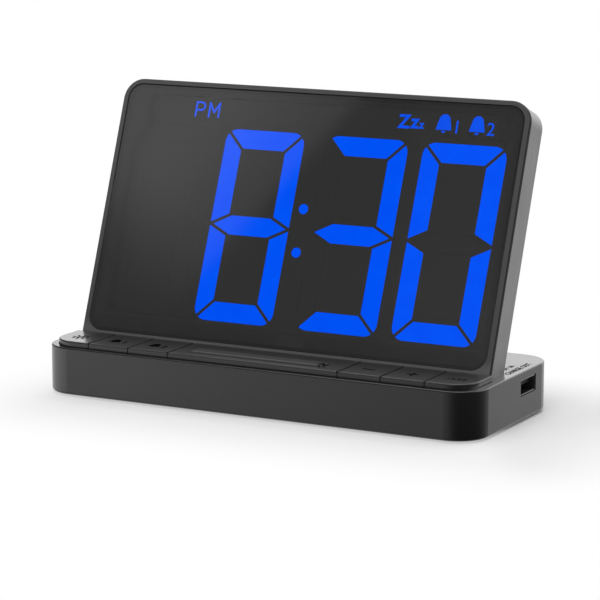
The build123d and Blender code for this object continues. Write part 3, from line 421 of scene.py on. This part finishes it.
def half_disc(name, radius, vertices, kept_side):
    """A flat disc cut in half, of which the upper side (1) or the lower side (-1) is kept, in edit mode."""
    clear_selection()
    bpy.ops.mesh.primitive_circle_add(vertices=vertices, radius=radius, fill_type="NGON")
    piece = begin_piece(name)
    bpy.ops.object.mode_set(mode="EDIT")
    bpy.ops.mesh.select_all(action="SELECT")
    bpy.ops.mesh.bisect(plane_co=(0, 0, 0), plane_no=(0, kept_side, 0), clear_inner=True)
    return piece


def flat_bell(name, width, height):
    """A flat bell: half a disc for its dome, drawn down and flared to its brim, with a clapper below."""
    dome_radius = 0.36 * width
    clapper_radius = 0.13 * width
    clapper_gap = 0.05 * height
    drops = [(0.16, 1.14), (0.18, 1.11), (0.16, 1.08), (0.06, 1.03)]
    bell = half_disc(name, dome_radius, vertices=32, kept_side=1)
    bpy.ops.mesh.select_mode(type="EDGE")
    level = 0.0
    for share, flare in drops:
        select_where(bell, "edges", lambda middle: abs(middle.y - level) < 1e-6)
        bpy.ops.mesh.extrude_region_move(TRANSFORM_OT_translate={"value": (0, -share * height, 0)})
        bpy.ops.transform.resize(value=(flare, 1, 1), center_override=(0, level, 0))
        level -= share * height
    bpy.ops.mesh.select_mode(type="VERT")
    bpy.ops.object.mode_set(mode="OBJECT")
    clapper = half_disc("clapper", clapper_radius, vertices=20, kept_side=-1)
    bpy.ops.object.mode_set(mode="OBJECT")
    clapper.location = (0, level - clapper_gap, 0)
    write_place()
    bell = join_pieces(name, [bell, clapper])
    lowest = min(point.co.y for point in bell.data.vertices)
    highest = max(point.co.y for point in bell.data.vertices)
    bell.location = (0, -(lowest + highest) / 2, 0)
    write_place()
    return bell


def flat_word(name, word, height, weight):
    """Flat letters of one height, centred on their own middle, made a little bolder by a weight."""
    clear_selection()
    bpy.ops.object.text_add()
    letters = begin_piece(name)
    letters.data.body = word
    letters.data.offset = weight
    letters.data.resolution_u = 4
    bpy.ops.object.convert(target="MESH")
    letters = begin_piece(name)
    low = Vector(letters.bound_box[0])
    high = Vector(letters.bound_box[6])
    size = height / (high.y - low.y)
    letters.scale = (size, size, size)
    letters.location = (low + high) * (-size / 2)
    write_place()
    return letters


def flat_ring(name, radius, width):
    """A flat ring, cut out of a disc by an inset."""
    clear_selection()
    bpy.ops.mesh.primitive_circle_add(vertices=40, radius=radius, fill_type="NGON")
    ring = begin_piece(name)
    bpy.ops.object.mode_set(mode="EDIT")
    bpy.ops.mesh.select_mode(type="FACE")
    bpy.ops.mesh.select_all(action="SELECT")
    bpy.ops.mesh.inset(thickness=width)
    bpy.ops.mesh.delete(type="FACE")
    bpy.ops.mesh.select_mode(type="VERT")
    bpy.ops.object.mode_set(mode="OBJECT")
    return ring


def flat_bar(name, start, end, width):
    """A flat bar with rounded ends between two points."""
    start = Vector((start[0], start[1], 0))
    end = Vector((end[0], end[1], 0))
    run = end - start
    clear_selection()
    bpy.ops.mesh.primitive_plane_add(size=1.0)
    bar = begin_piece(name)
    bar.scale = (run.length + width, width, 1)
    bar.rotation_euler = (0, 0, math.atan2(run.y, run.x))
    bpy.ops.object.transform_apply(location=False, rotation=False, scale=True)
    bpy.ops.object.mode_set(mode="EDIT")
    bpy.ops.mesh.select_all(action="SELECT")
    bpy.ops.mesh.bevel(offset=width * 0.45, segments=4, affect="VERTICES")
    bpy.ops.object.mode_set(mode="OBJECT")
    bar.location = (start + end) / 2
    write_place()
    return bar


def lamp_sign():
    """A small lamp with eight rays."""
    disc_radius = 0.0016
    disc_line = 0.0007
    ray_start = 0.0024
    ray_end = 0.0032
    ray_width = 0.0008
    ray_count = 8
    parts = [flat_ring("lamp_disc", disc_radius, disc_line)]
    for number in range(ray_count):
        turn = number * 2 * math.pi / ray_count
        ray = Vector((math.cos(turn), math.sin(turn)))
        parts.append(flat_bar("lamp_ray", ray * ray_start, ray * ray_end, ray_width))
    return join_pieces("lamp_sign", parts)


def alarm_sign(number):
    """A bell with the number of its alarm."""
    bell = flat_bell("alarm_bell", width=0.0046, height=0.0050)
    bell.location = (-0.0017, 0, 0)
    digit = flat_word("alarm_digit", number, height=0.0036, weight=0.01)
    digit.location = (0.0027, -0.0008, 0)
    for part in (bell, digit):
        pick(part)
        write_place()
    return join_pieces("alarm_sign", [bell, digit])


key_signs = {
    "left_outer": lamp_sign(),
    "left_middle": alarm_sign("1"),
    "left_inner": alarm_sign("2"),
    "right_inner": flat_bar("minus_sign", (-minus_reach, 0), (minus_reach, 0), stroke),
    "right_middle": join_pieces("plus_sign", [
        flat_bar("plus_level", (-plus_reach, 0), (plus_reach, 0), stroke),
        flat_bar("plus_upright", (0, -plus_reach), (0, plus_reach), stroke),
    ]),
    "right_outer": flat_word("hours_sign", "12/24", height=0.0024, weight=0.01),
}
for name, sign in key_signs.items():
    low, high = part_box("key_" + name)
    thicken(sign, ink_thickness)
    sign.location = ((low.x + high.x) / 2, sign_y, high.z - sign_sink)
    settle(sign)
    begin_piece("sign_" + name)
    finish_piece(sign, ink, "key_" + name + "_press")

# Snooze bar: a long separate bar in the middle of the deck, painted paler than the deck as a painted
# highlight of its top, with a soft sheen. A small dark spot near its right end is painted shade of a small
# hole.
# The bar's pale tone is a painted highlight of its top.
bar_highlight_tone = 0.085
spot_x = 0.0260
spot_y = -0.0278
spot_squeeze = 0.6
bar_finish, shader, place = new_finish("snooze_bar_plastic")
drift, specks, gloss = satin(place, rough=0.32)
flat_place = place.stretched(1.0, spot_squeeze, 0.0)
spot_middle = (spot_x, spot_squeeze * spot_y, 0.0)
from_spot = place.node("ShaderNodeVectorMath", {"operation": "DISTANCE"}, {0: flat_place, 1: spot_middle}, 1)
# Painted shade: a small round spot, almost black, stands for a small hole near the bar's right end.
painted_hole_shade = from_spot.fall(0.0010, 0.0013)
feed(shader, Base_Color=(bar_highlight_tone + 0.010 * drift) * (1 - 0.98 * painted_hole_shade), Roughness=gloss)
feed(shader, Normal=specks.bump(grain_relief), Coat_Weight=0.4 - 0.3 * painted_hole_shade, Coat_Roughness=0.25)
dress(bar_finish, "snooze_bar")

# Deck lip: a thin strip of the base plastic, welded round the deck opening so that only a fine gap is
# left in front of the keys.
lip_width = 0.00028
lip_height = 0.0012
lip_sink = 0.00004
lip_seat = 0.00052
lip_corner = 0.0094 + lip_seat
lip_end = -0.0138
lip_front = deck_low.y - lip_seat
lip_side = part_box("key_right_outer")[1].x + lip_seat
lip_middle = (0, (lip_front + lip_end) / 2, base_top - lip_height - lip_sink)
clear_selection()
bpy.ops.mesh.primitive_plane_add(size=1.0, location=lip_middle)
lip = begin_piece("deck_lip")
lip.scale = (2 * lip_side, lip_end - lip_front, 1)
bpy.ops.object.transform_apply(location=False, rotation=False, scale=True)
bpy.ops.object.mode_set(mode="EDIT")
bpy.ops.mesh.select_mode(type="VERT")
bpy.ops.mesh.select_all(action="DESELECT")
bpy.ops.object.mode_set(mode="OBJECT")
for vertex in lip.data.vertices:
    vertex.select = vertex.co.y < 0
bpy.ops.object.mode_set(mode="EDIT")
bpy.ops.mesh.bevel(offset=lip_corner, segments=14, affect="VERTICES")
bpy.ops.mesh.select_mode(type="FACE")
bpy.ops.mesh.select_all(action="SELECT")
bpy.ops.mesh.inset(thickness=lip_width)
bpy.ops.mesh.delete(type="FACE")
rear_line = (lip_end - lip_front) / 2
select_where(lip, "polygons", lambda middle: middle.y > rear_line - lip_width)
bpy.ops.mesh.delete(type="FACE")
bpy.ops.mesh.select_mode(type="VERT")
bpy.ops.object.mode_set(mode="OBJECT")
thicken(lip, lip_height)
settle(lip)
finish_piece(lip, base_finish, "base")

# Floor of the base with the bay of the backup cell and its door, moulded in the same plastic with a
# coarser grain. The cell is bare steel between two springy contacts.
floor_dark = grey(0.010)
floor_light = grey(0.016)
floor_finish = moulded("base_floor_plastic", floor_dark, floor_light, rough=0.5, grain=0.0006, relief=0.00003)
dress(floor_finish, "base_bottom_cover", "battery_door")
cell, shader, place = new_finish("cell_steel")
lines = place.stretched(1.0, 0.05, 1.0).noise(0.0003, 3.0)
feed(shader, Base_Color=lines.between(grey(0.5), grey(0.66)), Metallic=1.0)
feed(shader, Roughness=0.25 + 0.2 * lines, Normal=lines.bump(0.000004))
dress(cell, "coin_cell", "battery_contact_plus", "battery_contact_minus")

# Feet: four discs of grey-black rubber pressed into round seats in the floor, dusty and matt, so that
# their tone is blotchy.
rubber, shader, place = new_finish("foot_rubber")
dust = place.noise(0.002, 4.0)
feed(shader, Base_Color=dust.rise(0.35, 0.75).between(grey(0.018), grey(0.035)))
feed(shader, Roughness=0.8 + 0.15 * dust, Normal=place.noise(0.0004, 2.0).bump(0.00003))
dress(rubber, "rubber_feet")

# Front frame of the display head: a thin moulded bezel round the window, near-black with a soft sheen. Its
# strip at the foot is painted paler (painted light), and its matt outer edge is painted near black (painted
# shade).
# Four pillars behind it take the screws of the rear shell.
head_lean = math.radians(20.5)
head_foot = Vector((0, -0.0135, 0.0188))
up_slope = Vector((0, math.sin(head_lean), math.cos(head_lean)))
outward = Vector((0, -math.cos(head_lean), math.sin(head_lean)))
painted_foot_light_tone = 0.132
face_tone = 0.072
painted_edge_shade_tone = 0.004


def along(place, way):
    """How far a place lies from the foot of the head along one way."""
    return place.dot(way) - head_foot.dot(way)


bezel_finish, shader, place = new_finish("bezel_plastic")
drift = place.noise(drift_size)
specks = place.noise(0.0002, 3.0)
# Painted shade: the outer edge of the face is painted near black.
outer_edge_shade = along(place, outward).fall(-0.00022, -0.00004)
# Painted light: the strip at the foot of the face is painted paler.
tone = along(place, up_slope).rise(0.003, 0.008, painted_foot_light_tone, face_tone) + 0.008 * drift
feed(shader, Base_Color=outer_edge_shade.between(tone, grey(painted_edge_shade_tone)))
feed(shader, Roughness=0.36 + 0.10 * (drift - 0.5) + 0.3 * outer_edge_shade, Normal=specks.bump(0.000006))
feed(shader, Coat_Weight=0.3 - 0.3 * outer_edge_shade, Coat_Roughness=0.15)
dress(bezel_finish, "display_bezel")

# Front window: a smoked acrylic sheet, cut to the frame and glued on its ledge. Its polished face mirrors
# the room, about three quarters of the light come through, and a dark border is printed round the clear
# field. The border fades out slowly at the left and hides the pillars in the upper corners. The print is
# painted paler towards the foot of the window, a painted light.
window_low, window_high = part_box("front_window")
window_thickness = 0.0008
window_corner = 0.006
digits_side = 0.0797
digits_bottom = 0.0105
digits_top = 0.0877
row_side = 0.0748
row_bottom = 0.0868
row_top = 0.0970
print_blur = 0.0008
left_blur = 0.007
print_cover = 0.80
clear_cover = 0.27
smoked, shader, place = new_finish("smoked_acrylic")
haze = place.noise(0.03)
up_head = along(place, up_slope)
across_head = place.axis("X")


def clear_field(side, low, high):
    """One inside a field of the window, so far to the right and from low to high up the lean."""
    level = up_head.rise(low, low + print_blur) * up_head.fall(high - print_blur, high)
    return level * across_head.fall(side - print_blur, side)


clear = clear_field(digits_side, digits_bottom, digits_top) + clear_field(row_side, row_bottom, row_top)
left_start = up_head.rise(0.075, row_bottom, -digits_side, -row_side)
clear = clear.at_most(1.0) * (across_head - left_start).rise(0.0, left_blur)
window_middle = ((window_low + window_high) / 2 - head_foot).dot(up_slope)
window_rise = window_high.z - window_low.z - window_thickness * math.sin(head_lean)
window_reach = window_rise / math.cos(head_lean) / 2
beyond_side = abs(across_head) - (window_high.x - window_corner)
beyond_end = abs(up_head - window_middle) - (window_reach - window_corner)
from_corner = place.vector(beyond_side.at_least(0.0), beyond_end.at_least(0.0)).length()
edge = from_corner.rise(window_corner - 0.0005, window_corner - 0.0002) * up_head.rise(0.05, 0.085)
cover = (print_cover - (print_cover - clear_cover) * clear) * (1 - edge) + edge
# The print's own tone, with painted light that makes it paler towards the foot.
print_and_painted_light = up_head.rise(0.005, 0.06, 0.0465, 0.0345) + 0.002 * haze
tint = print_cover * (1 - clear) * (1 - edge) * print_and_painted_light + 0.002 * edge
feed(shader, Base_Color=tint / cover, Alpha=cover, Roughness=0.05 + 0.02 * haze + 0.7 * edge)
feed(shader, Coat_Weight=clear ** 2.3, Coat_Roughness=0.04)
dress(smoked, "front_window")
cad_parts["front_window"].visible_shadow = False
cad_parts["front_window"].visible_diffuse = False

# Light block behind the window: a dark grey moulding with a well for each segment. The lenses in the
# wells are pale resin, grey while unlit and clear blue where a lamp is on.
lit_nodes = ["hour_digit", "minute_tens_digit", "minute_ones_digit", "colon_dots"]
digit_dim = (0.0, 0.082, 0.96, 1.0)
digit_bright = (0.0, 0.094, 1.0, 1.0)
digit_strength = 1.60


def dull_grey(name):
    """The dull dark grey that block and unlit lenses share, painted a little paler towards the foot as
    painted light.
    """
    material, shader, place = new_finish(name)
    drift = place.noise(drift_size)
    # Painted light: the grey is painted paler towards the foot of the head.
    tone = along(place, up_slope).rise(0.0, 0.07, 0.075, 0.0605)
    feed(shader, Base_Color=tone * (0.98 + 0.04 * drift), Roughness=0.6 + 0.1 * (drift - 0.5))
    return material


def lit_blue(name, blot, strength, dim, bright):
    """Deep blue resin that shines between two blues, a little uneven in blots of one size."""
    material, shader, place = new_finish(name)
    glow = place.noise(blot).rise(0.2, 0.8)
    feed(shader, Base_Color=(0.0, 0.02, 0.2, 1.0), Roughness=0.6, Specular_IOR_Level=0.0)
    feed(shader, Emission_Color=glow.between(dim, bright), Emission_Strength=strength)
    return material


dress(dull_grey("light_block_plastic"), "segment_mask")
dress(dull_grey("unlit_lens_resin"), "unlit_segments", "indicator_lens")
lit = lit_blue("lit_lens_resin", 0.006, digit_strength, digit_dim, digit_bright)
dress(lit, *lit_nodes)
for name in lit_nodes:
    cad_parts[name].visible_glossy = False
    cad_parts[name].visible_diffuse = False

# Indicators: afternoon, sleep and two alarm bells, cut out of the dark foil on the indicator lenses, so
# that only their shapes shine through.
lens_depth = 0.0010
foil_thickness = 0.00004
sign_dim = (0.004, 0.090, 0.92, 1.0)
sign_bright = (0.006, 0.100, 0.97, 1.0)
sign_strength = 1.45
afternoon_x = -0.0479
afternoon_up = 0.0919
bell_up = 0.0924
digit_up = 0.0914
letter_width = 0.00075
letter_p = [(-0.0050, -0.0027), (-0.0050, 0.0027), (-0.0026, 0.0027), (-0.0016, 0.0021), (-0.0013, 0.0012),
            (-0.0016, 0.0003), (-0.0026, -0.0003), (-0.0050, -0.0003)]
letter_m = [(0.0008, -0.0027), (0.0008, 0.0027), (0.0029, -0.0009), (0.0050, 0.0027), (0.0050, -0.0027)]
sleep_letters = [("Z", 0.0053, 0.0354, 0.0923), ("z", 0.0037, 0.0398, 0.0917), ("z", 0.0022, 0.0426, 0.0910)]
alarm_places = [("1", 0.0516, 0.0568), ("2", 0.0649, 0.0703)]
icon = lit_blue("lit_indicator_foil", 0.004, sign_strength, sign_dim, sign_bright)


def on_head(piece, x, up):
    """Lays a flat sign as a foil on the front of the lenses, so far across and so far up the lean."""
    thicken(piece, foil_thickness)
    spot = head_foot + Vector((x, 0, 0)) + up_slope * up - outward * lens_depth
    turn = Matrix((Vector((1, 0, 0)), up_slope, outward)).transposed().to_4x4()
    piece.matrix_world = Matrix.Translation(spot) @ turn
    settle(piece)
    return piece


letter_bars = []
for letter in (letter_p, letter_m):
    for start, end in zip(letter, letter[1:]):
        letter_bars.append(flat_bar("letter_bar", start, end, letter_width))
afternoon = on_head(join_pieces("indicator_afternoon", letter_bars), afternoon_x, afternoon_up)
finish_piece(afternoon, icon, "base")

sleepers = []
for letter, height, x, up in sleep_letters:
    sleepers.append(on_head(flat_word("sleep_letter", letter, height, weight=0.03), x, up))
sleep = join_pieces("indicator_sleep", sleepers)
finish_piece(sleep, icon, "base")

for number, bell_x, digit_x in alarm_places:
    bell = on_head(flat_bell("bell", width=0.0062, height=0.0066), bell_x, bell_up)
    digit = on_head(flat_word("digit", number, height=0.0048, weight=0.004), digit_x, digit_up)
    alarm = join_pieces("indicator_alarm_" + number, [bell, digit])
    finish_piece(alarm, icon, "base")

# Display board parts: lamp chips in milky resin, two behind each segment and one behind each dot and
# sign, soldered to the display board.
milk_blue = (0.55, 0.60, 0.72, 1.0)
milk_white = (0.7, 0.74, 0.8, 1.0)
resin, shader, place = new_finish("milky_lamp_resin")
cloud = place.noise(0.0008)
feed(shader, Base_Color=cloud.between(milk_blue, milk_white), Roughness=0.3 + 0.1 * cloud)
dress(resin, "segment_lamps")

# Rear shell of the display head: a shallow tray moulded in dark grey plastic with a fine upright brush
# in its skin. Its grey is painted paler than the plastic, partly a painted reflection of the bright room
# beside it.
# Four screws from behind draw it against the bezel.
brush_stretch = 0.06
rear, shader, place = new_finish("brushed_rear_plastic")
strokes = place.vector(place.axis("X"), along(place, outward), brush_stretch * along(place, up_slope))
brush = strokes.noise(0.0007, 3.0)
drift = place.noise(0.02)
# The pale grey is partly the plastic's own tone and partly a painted reflection of the bright room.
feed(shader, Base_Color=(0.7 * brush + 0.3 * drift).rise(0.3, 0.7).between(grey(0.182), grey(0.236)))
feed(shader, Roughness=0.30 + 0.12 * brush, Normal=brush.bump(0.00001), Coat_Weight=0.5, Coat_Roughness=0.25)
dress(rear, "display_rear_housing")

# Mark of the charging port: two short lines of plain print on the rear top of the base, read from the
# right. It names the way of the current, its voltage and its strength, as ports of this kind do.
port_mark_y = 0.0103
port_mark_height = 0.0024
port_lines = []
for word, x in (("5V 1A", 0.0824), ("CHARGE OUT", 0.0864)):
    letters = flat_word("port_letters", word, port_mark_height, weight=0.012)
    thicken(letters, ink_thickness)
    letters.rotation_euler = (0, 0, math.pi / 2)
    letters.location = (x, port_mark_y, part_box("base_housing")[1].z - sign_sink)
    settle(letters)
    port_lines.append(letters)
port_mark = join_pieces("port_mark", port_lines)
finish_piece(port_mark, ink, "base")

# Stage: a wide pale floor under the clock, which turns white far out and keeps the clock's soft shadow
# near by. In front of the clock the camera sees painted light mixed over the floor, so the shadow there is
# paler than to its right.
shadow_x = 0.018
shadow_y = -0.004
shadow_half_x = 0.086
shadow_half_y = 0.0355
front_slope = 0.6
front_shift = 0.062
clear_selection()
bpy.ops.mesh.primitive_plane_add(size=12.0)
ground = begin_piece("stage_floor")
paper, paper_shader, flat = new_finish("pale_floor")
ground.data.materials.append(paper)
paper_nodes = paper.node_tree.nodes
feed(paper_shader, Base_Color=grey(0.95), Roughness=0.9, Specular_IOR_Level=0.0)
aside = abs(flat.axis("X") - shadow_x) - shadow_half_x
before = abs(flat.axis("Y") - shadow_y) - shadow_half_y
gap = flat.vector(aside.at_least(0.0), before.at_least(0.0)).length()
looked_at = Field(paper_nodes.new("ShaderNodeLightPath").outputs["Is Camera Ray"])
to_right = flat.axis("X") + front_slope * flat.axis("Y") - front_shift
# Painted light: white mixed over the floor in front of the clock lifts its shadow there.
painted_front_lift = to_right.rise(0.005, 0.03, 0.50, 0.04)
pale = painted_front_lift + (1 - painted_front_lift) * gap.rise(0.0, 0.06)
share = looked_at * pale + (1 - looked_at) * flat.length().rise(0.08, 0.26)
white = flat.node("ShaderNodeEmission", {}, {"Color": grey(1.0), "Strength": 1.0})
whole = flat.node("ShaderNodeMixShader", {}, {0: share, 1: Field(paper_shader.outputs[0]), 2: white})
paper.node_tree.links.new(whole.socket, paper_nodes["Material Output"].inputs["Surface"])
ground.visible_glossy = False

# Light: a plain soft room, bright behind the clock and dim above its front. It has one dark side to the
# right of the camera, which the rounded front corner mirrors, and two wide lamps give the even light.
dark_way = (0.88, -0.47, 0.0)
back_way = (0.35, 0.94, 0.0)
door_way = (-0.47, 0.88, 0.0)
room_level = 1.01
back_loss = 0.38
near_dark = 0.60
far_dark = 0.37
lamp_energy = 9.0
world = bpy.data.worlds.new("soft_room")
bpy.context.scene.world = world
world.use_nodes = True
world_nodes = world.node_tree.nodes
direction = Field(world_nodes.new("ShaderNodeTexCoord").outputs["Generated"])
toward_dark = direction.dot(dark_way)
toward_back = direction.dot(back_way)
toward_door = direction.dot(door_way)
up_axis = direction.axis("Z")
dark_side = near_dark * toward_dark.rise(-0.13, 0.02) + far_dark * toward_dark.rise(0.05, 0.8)
behind = toward_back.rise(0.2, 0.8)
low_room = room_level * (1 - dark_side) * (1 - back_loss * behind)
low_room = low_room * up_axis.rise(-0.60, -0.25, 0.45, 1.0)
low_room = low_room * toward_dark.rise(-0.98, -0.55, 0.72, 1.0) * toward_door.rise(0.90, 0.985, 1.0, 0.3)
high_room = toward_back.rise(0.2, 0.6, 0.07, 1.15)
height_share = up_axis.rise(-0.06, 0.08)
room = low_room * (1 - height_share) + high_room * height_share
seen = Field(world_nodes.new("ShaderNodeLightPath").outputs["Is Camera Ray"])
strength = seen + room * (1 - seen)
backdrop = world_nodes["Background"]
backdrop.inputs["Color"].default_value = grey(1.0)
world.node_tree.links.new(strength.socket, backdrop.inputs["Strength"])


def softbox(name, spot, size):
    """A square lamp of one size at a spot, which the camera doesn't see."""
    clear_selection()
    bpy.ops.object.light_add(type="AREA", location=spot)
    lamp = bpy.context.object
    lamp.name = name
    lamp.data.shape = "SQUARE"
    lamp.data.size = size
    lamp.data.energy = lamp_energy
    lamp.visible_camera = False
    return lamp


softbox("ceiling_softbox", Vector((-0.15, 0.1, 1.5)), size=1.4)
front_spot = Vector((0.25, -1.15, 1.0))
front_lamp = softbox("front_softbox", front_spot, size=1.0)
front_lamp.rotation_euler = front_spot.to_track_quat("Z", "Y").to_euler()
front_lamp.visible_glossy = False

# Camera: at the height of a seated eye, a long lens from the right of the clock. Its place and lens come
# from the outline of the clock.
camera_turn = math.radians(28.10)
camera_lift = math.radians(10.83)
camera_distance = 1.0227
shift_right = 0.00215
shift_up = 0.0367
foot_height = 0.0008
camera_back = Vector((
    math.sin(camera_turn) * math.cos(camera_lift),
    -math.cos(camera_turn) * math.cos(camera_lift),
    math.sin(camera_lift),
))
camera_right = Vector((math.cos(camera_turn), math.sin(camera_turn), 0))
camera_up = camera_back.cross(camera_right)
camera_spot = camera_right * shift_right + camera_up * shift_up + camera_back * camera_distance
camera_spot = camera_spot + Vector((0, 0, foot_height))
camera_axes = Matrix((camera_right, camera_up, camera_back)).transposed().to_4x4()
clear_selection()
bpy.ops.object.camera_add()
camera = bpy.context.object
camera.name = "product_camera"
camera.data.sensor_width = 36.0
camera.data.lens = 163.86
camera.data.clip_start = 0.01
camera.data.clip_end = 50.0
camera.matrix_world = Matrix.Translation(camera_spot) @ camera_axes
bpy.context.scene.camera = camera
bpy.context.scene.view_settings.view_transform = "Standard"

# Glare card: a pale sheet to the upper left of the camera, whose mirror image lies slantwise over the
# upper left of the window and fades downwards.
glare_reach = 1.4
glare_left = -0.140
glare_width = 0.180
glare_height = 0.125
glare_depth = 0.0001
glare_strength = 1.24
edge_slope = 0.76
edge_shift = 0.060
foot_slope = 0.6
foot_shift = 0.033
glare_corners = [(x, up) for up in (0, glare_height) for x in (glare_left, glare_left + glare_width)]
clear_selection()
bpy.ops.mesh.primitive_plane_add(size=1.0)
card = begin_piece("glare_card")
for vertex, (x, up) in zip(card.data.vertices, glare_corners):
    spot = head_foot + Vector((x, 0, 0)) + up_slope * up - outward * glare_depth
    ray = (spot - camera_spot).normalized()
    mirrored = ray - 2 * ray.dot(outward) * outward
    vertex.co = spot + mirrored * glare_reach
sheet = bpy.data.materials.new("pale_sheet")
sheet.use_nodes = True
sheet_nodes = sheet.node_tree.nodes
sheet_map = Field(sheet_nodes.new("ShaderNodeTexCoord").outputs["UV"])
sheet_x = glare_left + glare_width * sheet_map.axis("X")
sheet_up = glare_height * sheet_map.axis("Y")
from_edge = edge_slope * sheet_up - sheet_x - edge_shift
from_foot = sheet_up + foot_slope * sheet_x + foot_shift
sharp_and_soft = 0.45 * from_edge.rise(-0.001, 0.003) + 0.55 * from_edge.rise(0.0, 0.06)
fade = sharp_and_soft * from_foot.rise(0.004, 0.062)
shine = sheet_map.node("ShaderNodeEmission", {}, {"Color": fade, "Strength": glare_strength})
sheet.node_tree.links.new(shine.socket, sheet_nodes["Material Output"].inputs["Surface"])
card.data.materials.append(sheet)
card.visible_camera = False
card.visible_diffuse = False
card.visible_shadow = False
